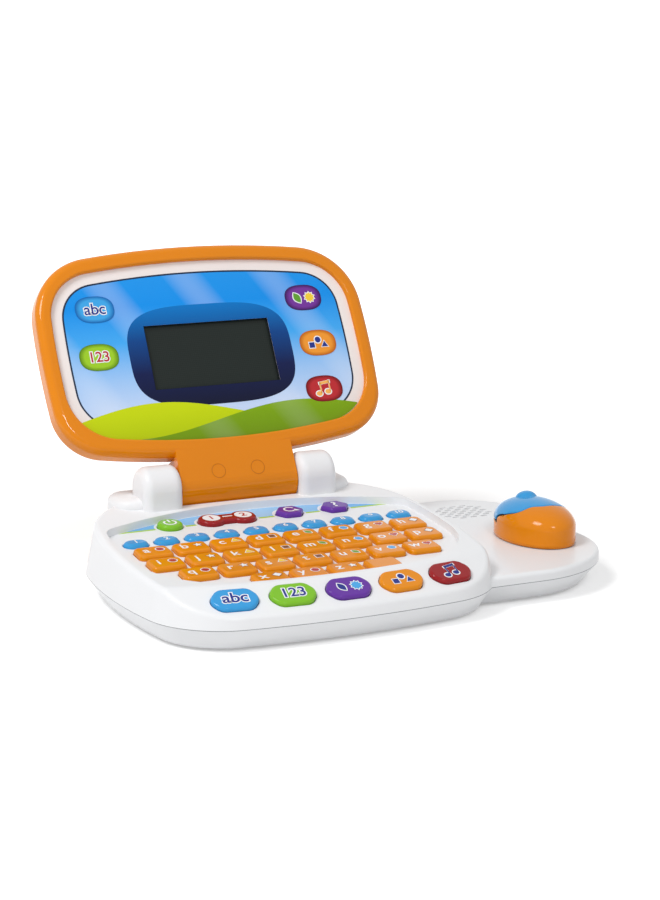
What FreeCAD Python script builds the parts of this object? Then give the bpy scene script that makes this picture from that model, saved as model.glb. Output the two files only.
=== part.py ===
"""Toy laptop computer: a keyboard base with a side wing, a hinged screen lid and a captive mouse.

Frame: millimetres, +Z up, +X to the player's right, +Y away from the player. Everything is drawn about
the middle of the keyboard deck on the table plane, with the lid open, as it stands in use. The finished
pieces are moved so that the part's origin lies on the table under the middle of the whole.
"""
import FreeCAD, Part
import math
import operator
import os

import Sketcher

Vector = FreeCAD.Vector
X_AXIS = Vector(1, 0, 0)
Z_AXIS = Vector(0, 0, 1)

# Driving dimensions in millimetres and degrees: name and value.
DIMENSIONS = {
    # the part's origin, measured from the middle of the keyboard deck
    "origin_right": 43.5,
    "origin_back": 22.9,
    # base case in plan
    "deck_half_width": 111.0,
    "deck_front": -104.5,
    "deck_back": 95.0,
    "deck_widest": -7.0,
    "deck_front_bow": 480.0,
    "deck_side_bow": 309.0,
    "deck_back_bow": 2000.0,
    "deck_front_corner": 48.0,
    "deck_back_corner": 67.0,
    "wing_right": 198.0,
    "wing_front": -83.0,
    "wing_back": 101.0,
    "wing_front_corner": 66.0,
    "wing_back_corner": 42.0,
    "wing_top": 20.0,
    "wing_edge": 2.4,
    # base case heights
    "floor_gap": 2.0,
    "parting_height": 14.0,
    "case_wall": 2.5,
    "lower_taper": 8.0,
    "wing_taper": 10.0,
    "upper_taper": 9.0,
    "deck_form_height": 62.0,
    "deck_tilt": 5.2,
    "deck_floor_height": 34.8,
    "rim_height": 4.5,
    "rim_edge": 3.8,
    "front_lip_height": 20.3,
    "front_slope": 26.0,
    "crest_round": 14.0,
    # raised back that carries the hinge
    "hump_half_width": 78.0,
    "hump_front": 62.0,
    "hump_height": 51.0,
    "hump_corner": 12.0,
    "hump_edge": 5.0,
    # keyboard dish
    "dish_half_width": 101.0,
    "dish_front": -76.0,
    "dish_back": 56.0,
    "dish_back_bow": 223.0,
    "dish_front_corner": 52.0,
    "dish_back_corner": 12.0,
    # keys
    "key_travel": 2.0,
    "key_gap": 0.4,
    "key_seat_gap": 0.3,
    "key_flange": 1.2,
    "key_flange_lip": 0.9,
    "key_stem": 4.0,
    "key_stem_width": 6.0,
    "contact_gap": 0.4,
    "number_pitch": 19.0,
    "number_width": 15.4,
    "number_depth": 11.4,
    "number_height": 2.4,
    "number_crown": 3.0,
    "number_row": 15.3,
    "letter_pitch": 23.4,
    "letter_row_pitch": 20.2,
    "letter_first_row": -3.9,
    "letter_width": 20.8,
    "letter_depth": 16.2,
    "letter_height": 3.1,
    "letter_corner": 3.6,
    "letter_crown": 2.0,
    "function_row": 39.5,
    "power_place": -55.0,
    "power_diameter": 15.4,
    "player_place": -18.2,
    "player_lobe": 16.4,
    "player_spread": 20.6,
    "player_waist": 11.0,
    "hex_left_place": 23.0,
    "hex_right_place": 53.5,
    "hex_across": 19.0,
    "hex_depth": 14.6,
    "function_height": 3.0,
    "function_crown": 1.8,
    "function_corner": 2.4,
    "mode_pitch": 33.3,
    "mode_inset": 13.4,
    "mode_width": 30.0,
    "mode_flat": 18.0,
    "mode_depth": 16.6,
    "mode_height": 2.4,
    "mode_corner": 6.6,
    "mode_crown": 1.6,
    # hinge and lid
    "hinge_place": 69.5,
    "hinge_height": 55.5,
    "hinge_pin_radius": 4.5,
    "hinge_pin_length": 12.0,
    "hinge_pin_clearance": 0.06,
    "lug_radius": 14.0,
    "lug_width": 25.0,
    "lug_edge": 5.5,
    "tongue_half_width": 38.4,
    "tongue_gap": 0.5,
    "heel_radius": 12.5,
    "heel_round": 13.0,
    "lid_recline": 29.1,
    "lid_thickness": 17.0,
    "lid_half_width": 110.0,
    "lid_bottom": 15.5,
    "lid_top": 154.5,
    "lid_widest": 86.0,
    "lid_bottom_bow": 520.0,
    "lid_side_bow": 520.0,
    "lid_top_bow": 600.0,
    "lid_bottom_corner": 32.0,
    "lid_top_corner": 42.0,
    "lid_edge": 5.0,
    "lid_wall": 2.6,
    "frame_side": 9.4,
    "frame_top": 10.4,
    "frame_bottom": 10.6,
    "frame_depth": 3.2,
    "frame_inner_edge": 1.6,
    "panel_lap": 3.0,
    "panel_thickness": 2.0,
    "screen_width": 83.5,
    "screen_height": 42.0,
    "screen_place": 81.8,
    "screen_margin": 4.0,
    "screen_thickness": 4.0,
    # mouse on the wing
    "mouse_place_x": 166.0,
    "mouse_place_y": -12.0,
    "mouse_half_width": 22.0,
    "mouse_half_length": 33.0,
    "mouse_skirt": 10.0,
    "mouse_dome": 14.5,
    "mouse_clearance": 0.5,
    "mouse_travel": 3.0,
    "mouse_stem": 10.0,
    "mouse_retainer": 17.0,
    "mouse_retainer_thickness": 1.5,
    "slider_size": 32.0,
    "slider_thickness": 2.0,
    "slider_gap": 0.3,
    "slider_rail": 3.0,
    "button_pin_radius": 2.5,
    "button_pin_length": 7.0,
    "mouse_button_travel": 1.5,
    "mouse_button_depth": 15.0,
    "mouse_button_gap": 0.4,
    "mouse_bump_radius": 8.0,
    "mouse_bump_height": 3.2,
    "mouse_bump_back": 11.0,
    # speaker under the wing
    "speaker_place_x": 158.0,
    "speaker_place_y": 65.0,
    "speaker_radius": 22.0,
    "speaker_depth": 9.0,
    "speaker_rim": 1.6,
    "magnet_radius": 11.0,
    "cone_radius": 19.5,
    "cone_depth": 4.0,
    "grille_slot_length": 4.6,
    "grille_slot_width": 1.6,
    "grille_pitch_x": 7.4,
    "grille_pitch_y": 3.6,
    # inside the base
    "board_thickness": 1.6,
    "board_inset": 7.0,
    "board_back": 50.0,
    "boss_radius": 4.0,
    "boss_place_x": 72.0,
    "boss_front": -55.0,
    "boss_back": 30.0,
    "cell_radius": 7.1,
    "cell_length": 49.5,
    "cell_tip": 1.0,
    "cell_tip_radius": 2.7,
    "cell_gap": 0.3,
    "bay_place": 58.0,
    "bay_wall": 1.6,
    "door_thickness": 1.8,
    "door_lap": 3.0,
    "door_gap": 0.3,
    "door_corner": 4.0,
    "foot_radius": 6.5,
    "foot_side": 26.0,
    "foot_front": 44.0,
    "foot_back": 26.0,
}

CELL_COUNT = 3
# Front edge of the mouse button: shares of the mouse's half width and half length.
BUTTON_WAVE = ((-1.2, 0.48), (-0.86, 0.40), (-0.27, 0.08), (0.41, -0.15), (1.2, -0.22))
LETTER_ROWS = ("abcdefgh", "ijklmnop", "qrstuvw", "xyz")
MODE_NAMES = ("blue", "green", "purple", "orange", "red")
REACH = 400.0

doc = FreeCAD.newDocument("toy_laptop")
sheet = doc.addObject("Spreadsheet::Sheet", "Sizes")


class Size:
    """A length or angle: its number and the sheet expression that gives it."""

    SIGNS = {"+": operator.add, "-": operator.sub, "*": operator.mul, "/": operator.truediv}

    def __init__(self, text, value):
        self.text = text
        self.value = value

    def join(self, sign, other):
        if not isinstance(other, Size):
            other = Size(repr(float(other)), float(other))
        return Size(f"({self.text} {sign} {other.text})", self.SIGNS[sign](self.value, other.value))

    def __add__(self, other):
        return self.join("+", other)

    def __sub__(self, other):
        return self.join("-", other)

    def __mul__(self, other):
        return self.join("*", other)

    def __truediv__(self, other):
        return self.join("/", other)

    def __neg__(self):
        return self.join("*", -1)

    def sin(self):
        return Size(f"sin({self.text})", math.sin(math.radians(self.value)))

    def cos(self):
        return Size(f"cos({self.text})", math.cos(math.radians(self.value)))

    def tan(self):
        return Size(f"tan({self.text})", math.tan(math.radians(self.value)))


def fill_sheet():
    """One row for each driving dimension: its name, and its value under that alias."""
    for row, (alias, value) in enumerate(DIMENSIONS.items(), start=1):
        sheet.set(f"A{row}", alias)
        sheet.set(f"B{row}", str(value))
        sheet.setAlias(f"B{row}", alias)
    doc.recompute()


def size(alias):
    """The sheet cell of that name as a Size."""
    return Size(f"Sizes.{alias}", float(sheet.get(alias)))


def number(alias):
    """The plain value of a sheet cell."""
    return float(sheet.get(alias))


def bind(thing, **sizes):
    """Bind properties of a document object to sheet expressions."""
    for prop, value in sizes.items():
        thing.setExpression(prop.replace("__", "."), value.text)
    return thing


def place(thing, x, y, z, rotation=None):
    """Put an object at a point worked out from the sheet, turned by a rotation."""
    rotation = rotation or FreeCAD.Rotation()
    thing.Placement = FreeCAD.Placement(Vector(x.value, y.value, z.value), rotation)
    return bind(thing, Placement__Base__x=x, Placement__Base__y=y, Placement__Base__z=z)


def arc_through(centre, radius, start, end, towards):
    """An arc about a centre from start to end, by way of the direction towards."""
    middle = centre + (towards - centre).normalize() * radius
    return Part.Arc(start, middle, end).toShape()


def arc_between(centre, radius, start, end):
    """The shorter arc about a centre from start to end."""
    return arc_through(centre, radius, start, end, start + end - centre)


def bowed_outline(half_width, front, back, widest, bows, corners, inset=0.0):
    """A rounded outline, alike left and right, of four bowed sides joined by tangent corner arcs.

    bows and corners give the radii at the front, side and back, and at the front and back corners.
    An inset moves every arc inwards about its own centre, so insets of one outline stay parallel.
    """
    front_bow, side_bow, back_bow = bows
    front_centre = Vector(0, front + front_bow, 0)
    back_centre = Vector(0, back - back_bow, 0)
    side_centre = Vector(half_width - side_bow, widest, 0)

    def corner(end_centre, end_bow, radius, sign):
        """The corner arc's centre: inside both the end's circle and the side's circle."""
        from_end = end_bow - radius
        from_side = side_bow - radius
        axis = end_centre - side_centre
        span = axis.Length
        axis.normalize()
        along = (from_side ** 2 - from_end ** 2 + span ** 2) / (2 * span)
        across = math.sqrt(from_side ** 2 - along ** 2)
        return side_centre + axis * along + Vector(-axis.y, axis.x, 0) * across * sign

    def touch(outer_centre, outer_radius, corner_centre):
        """Where a corner arc meets the larger circle that it lies inside."""
        return outer_centre + (corner_centre - outer_centre).normalize() * (outer_radius - inset)

    def mirrored(point):
        return Vector(-point.x, point.y, 0)

    front_corner = corner(front_centre, front_bow, corners[0], -1)
    back_corner = corner(back_centre, back_bow, corners[1], 1)
    front_end = touch(front_centre, front_bow, front_corner)
    side_start = touch(side_centre, side_bow, front_corner)
    side_end = touch(side_centre, side_bow, back_corner)
    back_start = touch(back_centre, back_bow, back_corner)
    edges = [
        arc_through(front_centre, front_bow - inset, mirrored(front_end), front_end, Vector(0, front, 0)),
        arc_between(front_corner, corners[0] - inset, front_end, side_start),
        arc_between(side_centre, side_bow - inset, side_start, side_end),
        arc_between(back_corner, corners[1] - inset, side_end, back_start),
        arc_through(back_centre, back_bow - inset, back_start, mirrored(back_start), Vector(0, back, 0)),
    ]
    left = [edge.mirror(Vector(0, 0, 0), X_AXIS) for edge in edges[1:4]]
    return Part.Wire(Part.__sortEdges__(edges + left))


def deck_outline(inset=0.0):
    """The keyboard base in plan, at the parting line."""
    bows = (number("deck_front_bow"), number("deck_side_bow"), number("deck_back_bow"))
    corners = (number("deck_front_corner"), number("deck_back_corner"))
    return bowed_outline(number("deck_half_width"), number("deck_front"), number("deck_back"),
                         number("deck_widest"), bows, corners, inset)


def dish_outline(inset=0.0):
    """The sunken keyboard dish in plan: its sides follow the deck and its back is a wide arc."""
    side_bow = number("deck_side_bow") - number("deck_half_width") + number("dish_half_width")
    front_bow = number("deck_front_bow") + number("deck_front") - number("dish_front")
    bows = (front_bow, side_bow, number("dish_back_bow"))
    corners = (number("dish_front_corner"), number("dish_back_corner"))
    return bowed_outline(number("dish_half_width"), number("dish_front"), number("dish_back"),
                         number("deck_widest"), bows, corners, inset)


def lid_outline(inset=0.0):
    """The lid seen square on, with the hinge axis at the origin."""
    bows = (number("lid_bottom_bow"), number("lid_side_bow"), number("lid_top_bow"))
    corners = (number("lid_bottom_corner"), number("lid_top_corner"))
    return bowed_outline(number("lid_half_width"), number("lid_bottom"), number("lid_top"),
                         number("lid_widest"), bows, corners, inset)


def lid_opening(outset=0.0):
    """The opening in the lid frame: the lid's outline less the frame's widths."""
    side, top, bottom = number("frame_side"), number("frame_top"), number("frame_bottom")
    bows = (number("lid_bottom_bow") - bottom, number("lid_side_bow") - side, number("lid_top_bow") - top)
    corners = (number("lid_bottom_corner"), number("lid_top_corner") - top)
    return bowed_outline(number("lid_half_width") - side, number("lid_bottom") + bottom,
                         number("lid_top") - top, number("lid_widest"), bows, corners, -outset)


def wing_outline(inset=0.0):
    """The side wing in plan: a wide round front corner, a tighter back one, its left inside the deck."""
    right = number("wing_right") - inset
    front = number("wing_front") + inset
    back = number("wing_back") - inset
    front_corner = number("wing_front_corner") - inset
    back_corner = number("wing_back_corner") - inset
    left = number("deck_half_width") / 2
    points = [Vector(left, front), Vector(right - front_corner, front), Vector(right, front + front_corner),
              Vector(right, back - back_corner), Vector(right - back_corner, back), Vector(left, back)]
    slant = math.sqrt(0.5)
    front_middle = Vector(right - front_corner * (1 - slant), front + front_corner * (1 - slant))
    back_middle = Vector(right - back_corner * (1 - slant), back - back_corner * (1 - slant))
    return Part.Wire([
        Part.makeLine(points[0], points[1]),
        Part.Arc(points[1], front_middle, points[2]).toShape(),
        Part.makeLine(points[2], points[3]),
        Part.Arc(points[3], back_middle, points[4]).toShape(),
        Part.makeLine(points[4], points[5]),
        Part.makeLine(points[5], points[0]),
    ])


def hump_outline(inset=0.0):
    """The raised back in plan: a rectangle with round corners."""
    corner = number("hump_corner")
    half = number("hump_half_width") - corner
    front, back = number("hump_front") + corner, number("deck_back") - corner
    core = [Vector(-half, front), Vector(half, front), Vector(half, back), Vector(-half, back)]
    return Part.makePolygon(core + core[:1]).makeOffset2D(corner - inset)


def feature(name, shape, height=0.0):
    """Keep a worked-out shape in the document, lifted to a height."""
    thing = doc.addObject("Part::Feature", name)
    thing.Shape = shape
    thing.Placement = FreeCAD.Placement(Vector(0, 0, height), FreeCAD.Rotation())
    return thing


def prism(name, wire, bottom, top):
    """An outline pushed straight up from one height to another."""
    base = feature(name + "_outline", wire, bottom.value)
    bind(base, Placement__Base__z=bottom)
    solid = doc.addObject("Part::Extrusion", name)
    solid.Base = base
    solid.DirMode = "Custom"
    solid.Dir = Z_AXIS
    solid.Solid = True
    return bind(solid, LengthFwd=top - bottom)


def tapered(name, lower_wire, bottom, upper_wire, top):
    """A solid with straight sloping sides between two parallel outlines."""
    lower = feature(name + "_lower", lower_wire, bottom.value)
    upper = feature(name + "_upper", upper_wire, top.value)
    bind(lower, Placement__Base__z=bottom)
    bind(upper, Placement__Base__z=top)
    solid = doc.addObject("Part::Loft", name)
    solid.Sections = [lower, upper]
    solid.Solid = True
    solid.Ruled = True
    return solid


def joined(kind, name, pieces):
    """A boolean of several objects: Part::MultiFuse, Part::MultiCommon or Part::Compound."""
    thing = doc.addObject(kind, name)
    if kind == "Part::Compound":
        thing.Links = pieces
    else:
        thing.Shapes = pieces
    return thing


def cut(name, base, tool):
    """One object with another taken away."""
    thing = doc.addObject("Part::Cut", name)
    thing.Base = base
    thing.Tool = tool
    return thing


def fillet(name, base, radius, wanted):
    """Round the edges of an object that the test picks."""
    doc.recompute()
    edges = [index for index, edge in enumerate(base.Shape.Edges, start=1) if wanted(edge)]
    thing = doc.addObject("Part::Fillet", name)
    thing.Base = base
    thing.Edges = [(index, radius, radius) for index in edges]
    return thing


def box(name, length, width, height, x, y, z, rotation=None):
    """A block with sizes and place from the sheet."""
    thing = doc.addObject("Part::Box", name)
    bind(thing, Length=length, Width=width, Height=height)
    return place(thing, x, y, z, rotation)


def cylinder(name, radius, height, x, y, z, rotation=None):
    """A round bar with size and place from the sheet."""
    thing = doc.addObject("Part::Cylinder", name)
    bind(thing, Radius=radius, Height=height)
    return place(thing, x, y, z, rotation)


def plane_of(body, role):
    """One of a body's own origin planes."""
    return next(item for item in body.Origin.OriginFeatures if item.Role == role)


def sketch_on(body, name, height, role="XY_Plane"):
    """An empty sketch on one of the body's own planes, moved off it by a height."""
    sketch = body.newObject("Sketcher::SketchObject", name)
    sketch.AttachmentSupport = (plane_of(body, role), "")
    sketch.MapMode = "FlatFace"
    sketch.AttachmentOffset = FreeCAD.Placement(Vector(0, 0, height.value), FreeCAD.Rotation())
    return bind(sketch, AttachmentOffset__Base__z=height)


def pin_point(sketch, line, point, x, y):
    """Hold one end of a line at a place measured from the sketch's origin."""
    for kind, value in (("DistanceX", x), ("DistanceY", y)):
        index = sketch.addConstraint(Sketcher.Constraint(kind, -1, 1, line, point, value.value))
        sketch.setExpression(f"Constraints[{index}]", value.text)


def draw_polygon(sketch, corners):
    """A closed polygon whose every corner is held by the sheet."""
    count = len(corners)
    flat = [Vector(x.value, y.value, 0) for x, y in corners]
    for index in range(count):
        sketch.addGeometry(Part.LineSegment(flat[index], flat[(index + 1) % count]))
    for index in range(count):
        sketch.addConstraint(Sketcher.Constraint("Coincident", index, 2, (index + 1) % count, 1))
    for index, (x, y) in enumerate(corners):
        pin_point(sketch, index, 1, x, y)


def draw_circle(sketch, x, radius):
    """A circle on the sketch's X axis."""
    index = sketch.addGeometry(Part.Circle(Vector(x.value, 0, 0), Z_AXIS, radius.value))
    pin_point(sketch, index, 3, x, x * 0)
    held = sketch.addConstraint(Sketcher.Constraint("Radius", index, radius.value))
    sketch.setExpression(f"Constraints[{held}]", radius.text)


def pad(body, name, height, length, draw):
    """A pad from a height upwards, of what draw puts in the sketch."""
    sketch = sketch_on(body, name + "_sketch", height)
    draw(sketch)
    solid = body.newObject("PartDesign::Pad", name)
    solid.Profile = sketch
    sketch.Visibility = False
    return bind(solid, Length=length)


def round_edges(body, name, radius, wanted):
    """A fillet on the edges of the body's last feature that the test picks."""
    doc.recompute()
    base = body.Tip
    names = [f"Edge{index}" for index, edge in enumerate(base.Shape.Edges, start=1) if wanted(edge)]
    solid = body.newObject("PartDesign::Fillet", name)
    solid.Base = (base, names)
    return bind(solid, Radius=radius)


def is_upright(edge):
    """Whether an edge runs along Z."""
    first, last = edge.Vertexes[0].Point, edge.Vertexes[-1].Point
    return len(edge.Vertexes) == 2 and abs(first.x - last.x) + abs(first.y - last.y) < 1e-6


def lies_at(height):
    """A test for edges that lie level at a height."""
    return lambda edge: abs(edge.BoundBox.ZMin - height) + abs(edge.BoundBox.ZMax - height) < 1e-4


def rectangle(width, depth):
    """Corners of a rectangle about the origin."""
    x, y = width / 2, depth / 2
    return [(-x, -y), (x, -y), (x, y), (-x, y)]


def long_hexagon(width, flat, depth):
    """Corners of a hexagon with points left and right and a flat at front and back."""
    half, x, y = width / 2, flat / 2, depth / 2
    nil = half * 0
    return [(-half, nil), (-x, -y), (x, -y), (half, nil), (x, y), (-x, y)]


def rounded_prism(corners, grow, corner_radius, bottom, top):
    """A prism on a polygon grown on every side by a gap, with its upright edges rounded."""
    wire = Part.makePolygon([Vector(x.value, y.value, bottom) for x, y in corners + corners[:1]])
    face = Part.Face(wire.makeOffset2D(grow, 2) if grow else wire)
    solid = face.extrude(Vector(0, 0, top - bottom))
    return solid.makeFillet(corner_radius + grow, [edge for edge in solid.Edges if is_upright(edge)])


class Key:
    """A push key: its cap's plan, where it sits, and the aperture that it passes through.

    In a key's own frame the origin is on the deck surface and +Z points out of the deck. The cap goes
    down through the aperture to a flange that holds it in, and a stem reaches towards the board.
    """

    def __init__(self, node, plan, corner, height, crown, seat, board_depth):
        self.node = node
        self.plan = plan
        self.corner = corner
        self.height = height
        self.crown = crown
        self.seat = seat
        self.board_depth = board_depth
        self.flange_top = -(size("case_wall") + size("key_seat_gap"))
        self.flange_bottom = self.flange_top - size("key_flange")

    def build(self):
        """The key as a body of pads: flange, stem and cap, then the rounding."""
        body = doc.addObject("PartDesign::Body", self.node)
        stem_end = size("key_travel") + size("contact_gap") - self.board_depth
        stem = rectangle(size("key_stem_width"), size("key_stem_width"))
        pad(body, self.node + "_stem", stem_end, self.flange_bottom - stem_end,
            lambda sketch: draw_polygon(sketch, stem))
        lip = size("key_gap") + size("key_flange_lip")
        self.pads(body, self.flange_bottom, size("key_flange"), lip, "_flange")
        self.pads(body, self.flange_top, self.height - self.flange_top, None, "_cap")
        top = self.height.value
        if self.corner:
            cap_sides = lambda edge: is_upright(edge) and edge.BoundBox.ZMax > top - 1e-4
            round_edges(body, self.node + "_corners", self.corner, cap_sides)
        round_edges(body, self.node + "_crown", self.crown, lies_at(top))
        x, y, z, turn = self.seat
        return place(body, x, y, z, turn)

    def pads(self, body, height, length, lip, suffix):
        """Pad the plan; a flange has a lip at front and back only, and stops short of a pointed side."""
        plan = self.plan
        if lip:
            widest = max((corner[0] for corner in plan), key=lambda value: value.value)
            flat, y = max(plan, key=lambda corner: (round(corner[1].value, 6), corner[0].value))
            plan = rectangle(widest * 0.8 + flat * 1.2, (y + lip) * 2)
        pad(body, self.node + suffix, height, length, lambda sketch: draw_polygon(sketch, plan))

    def aperture(self, grow):
        """The hole in the deck: the plan with a gap all round, through the wall."""
        depth = size("case_wall") * 2
        radius = self.corner.value if self.corner else 0.0
        return rounded_prism(self.plan, grow, radius, -depth.value, self.height.value)

    def placed_aperture(self):
        """The aperture where the key sits."""
        tool = self.aperture(number("key_gap"))
        x, y, z, turn = self.seat
        tool.Placement = FreeCAD.Placement(Vector(x.value, y.value, z.value), turn)
        return tool


class RoundKey(Key):
    """A key with a round cap, or two round lobes joined by a waist."""

    def __init__(self, node, lobe, spread, waist, height, crown, seat, board_depth):
        plan = rectangle(spread, waist) if waist else []
        super().__init__(node, plan, None, height, crown, seat, board_depth)
        self.lobe = lobe
        self.spread = spread
        self.waist = waist

    def centres(self):
        """Where the lobes' middles are along the cap."""
        half = self.spread / 2
        return (-half, half) if self.waist else (half * 0,)

    def pads(self, body, height, length, lip, suffix):
        radius = self.lobe / 2 + lip if lip else self.lobe / 2
        for index, x in enumerate(self.centres()):
            pad(body, f"{self.node}{suffix}_{index}", height, length,
                lambda sketch, x=x: draw_circle(sketch, x, radius))
        if self.waist:
            pad(body, f"{self.node}{suffix}_waist", height, length,
                lambda sketch: draw_polygon(sketch, self.plan))

    def aperture(self, grow):
        bottom = -2 * number("case_wall")
        length = self.height.value - bottom
        tools = [Part.makeCylinder(self.lobe.value / 2 + grow, length, Vector(x.value, 0, bottom))
                 for x in self.centres()]
        if self.waist:
            depth = self.waist.value + 2 * grow
            corner = Vector(-self.spread.value / 2, -depth / 2, bottom)
            tools.append(Part.makeBox(self.spread.value, depth, length, corner))
        return tools[0].multiFuse(tools[1:]).removeSplitter() if len(tools) > 1 else tools[0]


def board_depth_under_deck():
    """How far the board's face lies below the deck surface, square to it."""
    return (size("case_wall") + size("key_seat_gap") + size("key_flange") + size("key_stem")
            + size("key_travel") + size("contact_gap"))


def deck_seat(x, y):
    """A place on the keyboard deck: level across, rising to the back at the deck's tilt."""
    z = size("deck_floor_height") + y * size("deck_tilt").tan()
    return x, y, z, FreeCAD.Rotation(X_AXIS, number("deck_tilt"))


def slope_seat(step):
    """A place for a mode button on the bowed front slope, step pitches from the middle."""
    bow = size("deck_front_bow")
    row_radius = bow - size("mode_inset")
    turn = size("mode_pitch") * step / row_radius * (180 / math.pi)
    x = row_radius * turn.sin()
    y = size("deck_front") + bow - row_radius * turn.cos()
    z = size("front_lip_height") + size("mode_inset") * size("front_slope").tan()
    rotation = FreeCAD.Rotation(Z_AXIS, turn.value) * FreeCAD.Rotation(X_AXIS, number("front_slope"))
    return x, y, z, rotation


def board_depth_under_slope(seat):
    """How far the tilted board lies below a mode button, square to the slope, at the stem's near edge."""
    tilt, slope = size("deck_tilt"), size("front_slope")
    face = size("deck_floor_height") + seat[1] * tilt.tan() - board_depth_under_deck() / tilt.cos()
    lean = slope - tilt
    return (seat[2] - face) * tilt.cos() / lean.cos() - size("key_stem_width") / 2 * lean.tan()


def make_keys():
    """Every key of the keyboard, from the number row at the back to the mode row in front."""
    depth = board_depth_under_deck()
    keys = []
    number_plan = rectangle(size("number_width"), size("number_depth"))
    number_corner = size("number_depth") / 2 - size("contact_gap") / 8
    for index in range(10):
        seat = deck_seat(size("number_pitch") * (index - 4.5), size("number_row"))
        keys.append(Key(f"number_key_{index + 1}", number_plan, number_corner, size("number_height"),
                        size("number_crown"), seat, depth))
    letter_plan = rectangle(size("letter_width"), size("letter_depth"))
    for row, letters in enumerate(LETTER_ROWS):
        names = [f"letter_key_{letter}" for letter in letters]
        if row == len(LETTER_ROWS) - 1:
            names.append("blank_key")
        y = size("letter_first_row") - size("letter_row_pitch") * row
        for column, node in enumerate(names):
            x = size("letter_pitch") * (column - (len(names) - 1) / 2)
            keys.append(Key(node, letter_plan, size("letter_corner"), size("letter_height"),
                            size("letter_crown"), deck_seat(x, y), depth))
    row = size("function_row")
    height, crown = size("function_height"), size("function_crown")
    keys.append(RoundKey("power_button", size("power_diameter"), size("power_diameter"), None, height, crown,
                         deck_seat(size("power_place"), row), depth))
    keys.append(RoundKey("player_button", size("player_lobe"), size("player_spread"), size("player_waist"),
                         height, crown, deck_seat(size("player_place"), row), depth))
    hex_plan = long_hexagon(size("hex_across"), size("hex_across") / 2, size("hex_depth"))
    for side in ("left", "right"):
        seat = deck_seat(size(f"hex_{side}_place"), row)
        keys.append(Key(f"hex_button_{side}", hex_plan, size("function_corner"), height, crown, seat, depth))
    mode_plan = long_hexagon(size("mode_width"), size("mode_flat"), size("mode_depth"))
    for index, colour in enumerate(MODE_NAMES):
        seat = slope_seat(index - 2)
        keys.append(Key(f"mode_button_{colour}", mode_plan, size("mode_corner"), size("mode_height"),
                        size("mode_crown"), seat, board_depth_under_slope(seat)))
    return keys


def under_plane(name, height, tilt):
    """A block that fills everything below a plane tilted up to the back."""
    reach = Size(repr(REACH), REACH)
    turn = FreeCAD.Rotation(X_AXIS, tilt.value)
    down = turn.multVec(Vector(-REACH, -REACH, -REACH))
    base = Size(repr(down.z), down.z)
    return box(name, reach * 2, reach * 2, reach, -reach, Size(repr(down.y), down.y), base + height, turn)


def above_plane(name, height, tilt):
    """A block that fills everything above a plane tilted up to the back."""
    reach = Size(repr(REACH), REACH)
    turn = FreeCAD.Rotation(X_AXIS, tilt.value)
    shift = turn.multVec(Vector(-REACH, -REACH, 0))
    base = Size(repr(shift.z), shift.z)
    return box(name, reach * 2, reach * 2, reach, -reach, Size(repr(shift.y), shift.y), base + height, turn)


def deck_form(name, inset):
    """The deck's outer form, or its inside when given an inset: tapered sides, tilted top, front slope."""
    wall = Size(repr(float(inset)), float(inset)) * size("case_wall")
    tilt, slope = size("deck_tilt"), size("front_slope")
    lean = number("upper_taper")
    sides = tapered(name + "_sides", deck_outline(wall.value), size("parting_height"),
                    deck_outline(wall.value + lean), size("deck_form_height"))
    rim = size("deck_floor_height") + size("rim_height") / tilt.cos() - wall / tilt.cos()
    top = under_plane(name + "_top", rim, tilt)
    front = doc.addObject("Part::Cone", name + "_front")
    bow, height = size("deck_front_bow"), size("deck_form_height")
    foot = bow + size("front_lip_height") / slope.tan() - wall / slope.sin()
    bind(front, Radius1=foot, Radius2=foot - height / slope.tan(), Height=height)
    place(front, bow * 0, size("deck_front") + bow, bow * 0)
    return joined("Part::MultiCommon", name, [sides, top, front])


def dish_tool(name, outset, drop):
    """The keyboard dish as a solid to take away: straight walls and a floor along the deck's tilt."""
    tilt = size("deck_tilt")
    column = prism(name + "_column", dish_outline(-outset), size("parting_height"), size("deck_form_height"))
    floor = above_plane(name + "_floor", size("deck_floor_height") - drop / tilt.cos(), tilt)
    return joined("Part::MultiCommon", name, [column, floor])


def hinge_lug(name, side):
    """One of the two upright lugs that carry the lid: a round head on a block, with soft edges."""
    half = size("tongue_half_width") + size("tongue_gap")
    width = size("lug_width")
    left = half if side > 0 else -(half + width)
    radius = size("lug_radius")
    along_x = FreeCAD.Rotation(Vector(0, 1, 0), 90)
    head = cylinder(name + "_head", radius, width, left, size("hinge_place"), size("hinge_height"), along_x)
    foot = size("deck_floor_height")
    block = box(name + "_block", width, radius * 2, size("hinge_height") - foot, left,
                size("hinge_place") - radius, foot)
    whole = joined("Part::MultiFuse", name + "_whole", [head, block])
    whole.Refine = True
    ends = (left.value, left.value + width.value)

    def rim(edge):
        bounds = edge.BoundBox
        flat = bounds.XLength < 1e-4 and min(abs(bounds.XMin - end) for end in ends) < 1e-4
        return flat and bounds.ZMax > foot.value + 1e-3
    return fillet(name, whole, number("lug_edge"), rim)


def pin_bores():
    """The bores in the lugs for the lid's hinge pins."""
    length = size("hinge_pin_length") + size("tongue_gap")
    reach = size("tongue_half_width")
    along_x = FreeCAD.Rotation(Vector(0, 1, 0), 90)
    radius = size("hinge_pin_radius") + size("hinge_pin_clearance")
    starts = (reach, -(reach + length + size("tongue_gap")))
    bores = [cylinder(f"pin_bore_{index}", radius, length + size("tongue_gap"), start, size("hinge_place"),
                      size("hinge_height"), along_x) for index, start in enumerate(starts)]
    return bores


def hinge_trough(name, wall):
    """The round trough between the lugs that the lid's heel turns in, grown by a wall."""
    half = size("tongue_half_width") + size("tongue_gap") + wall
    radius = size("heel_radius") + size("tongue_gap") + wall
    along_x = FreeCAD.Rotation(Vector(0, 1, 0), 90)
    return cylinder(name, radius, half * 2, -half, size("hinge_place"), size("hinge_height"), along_x)


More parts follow.
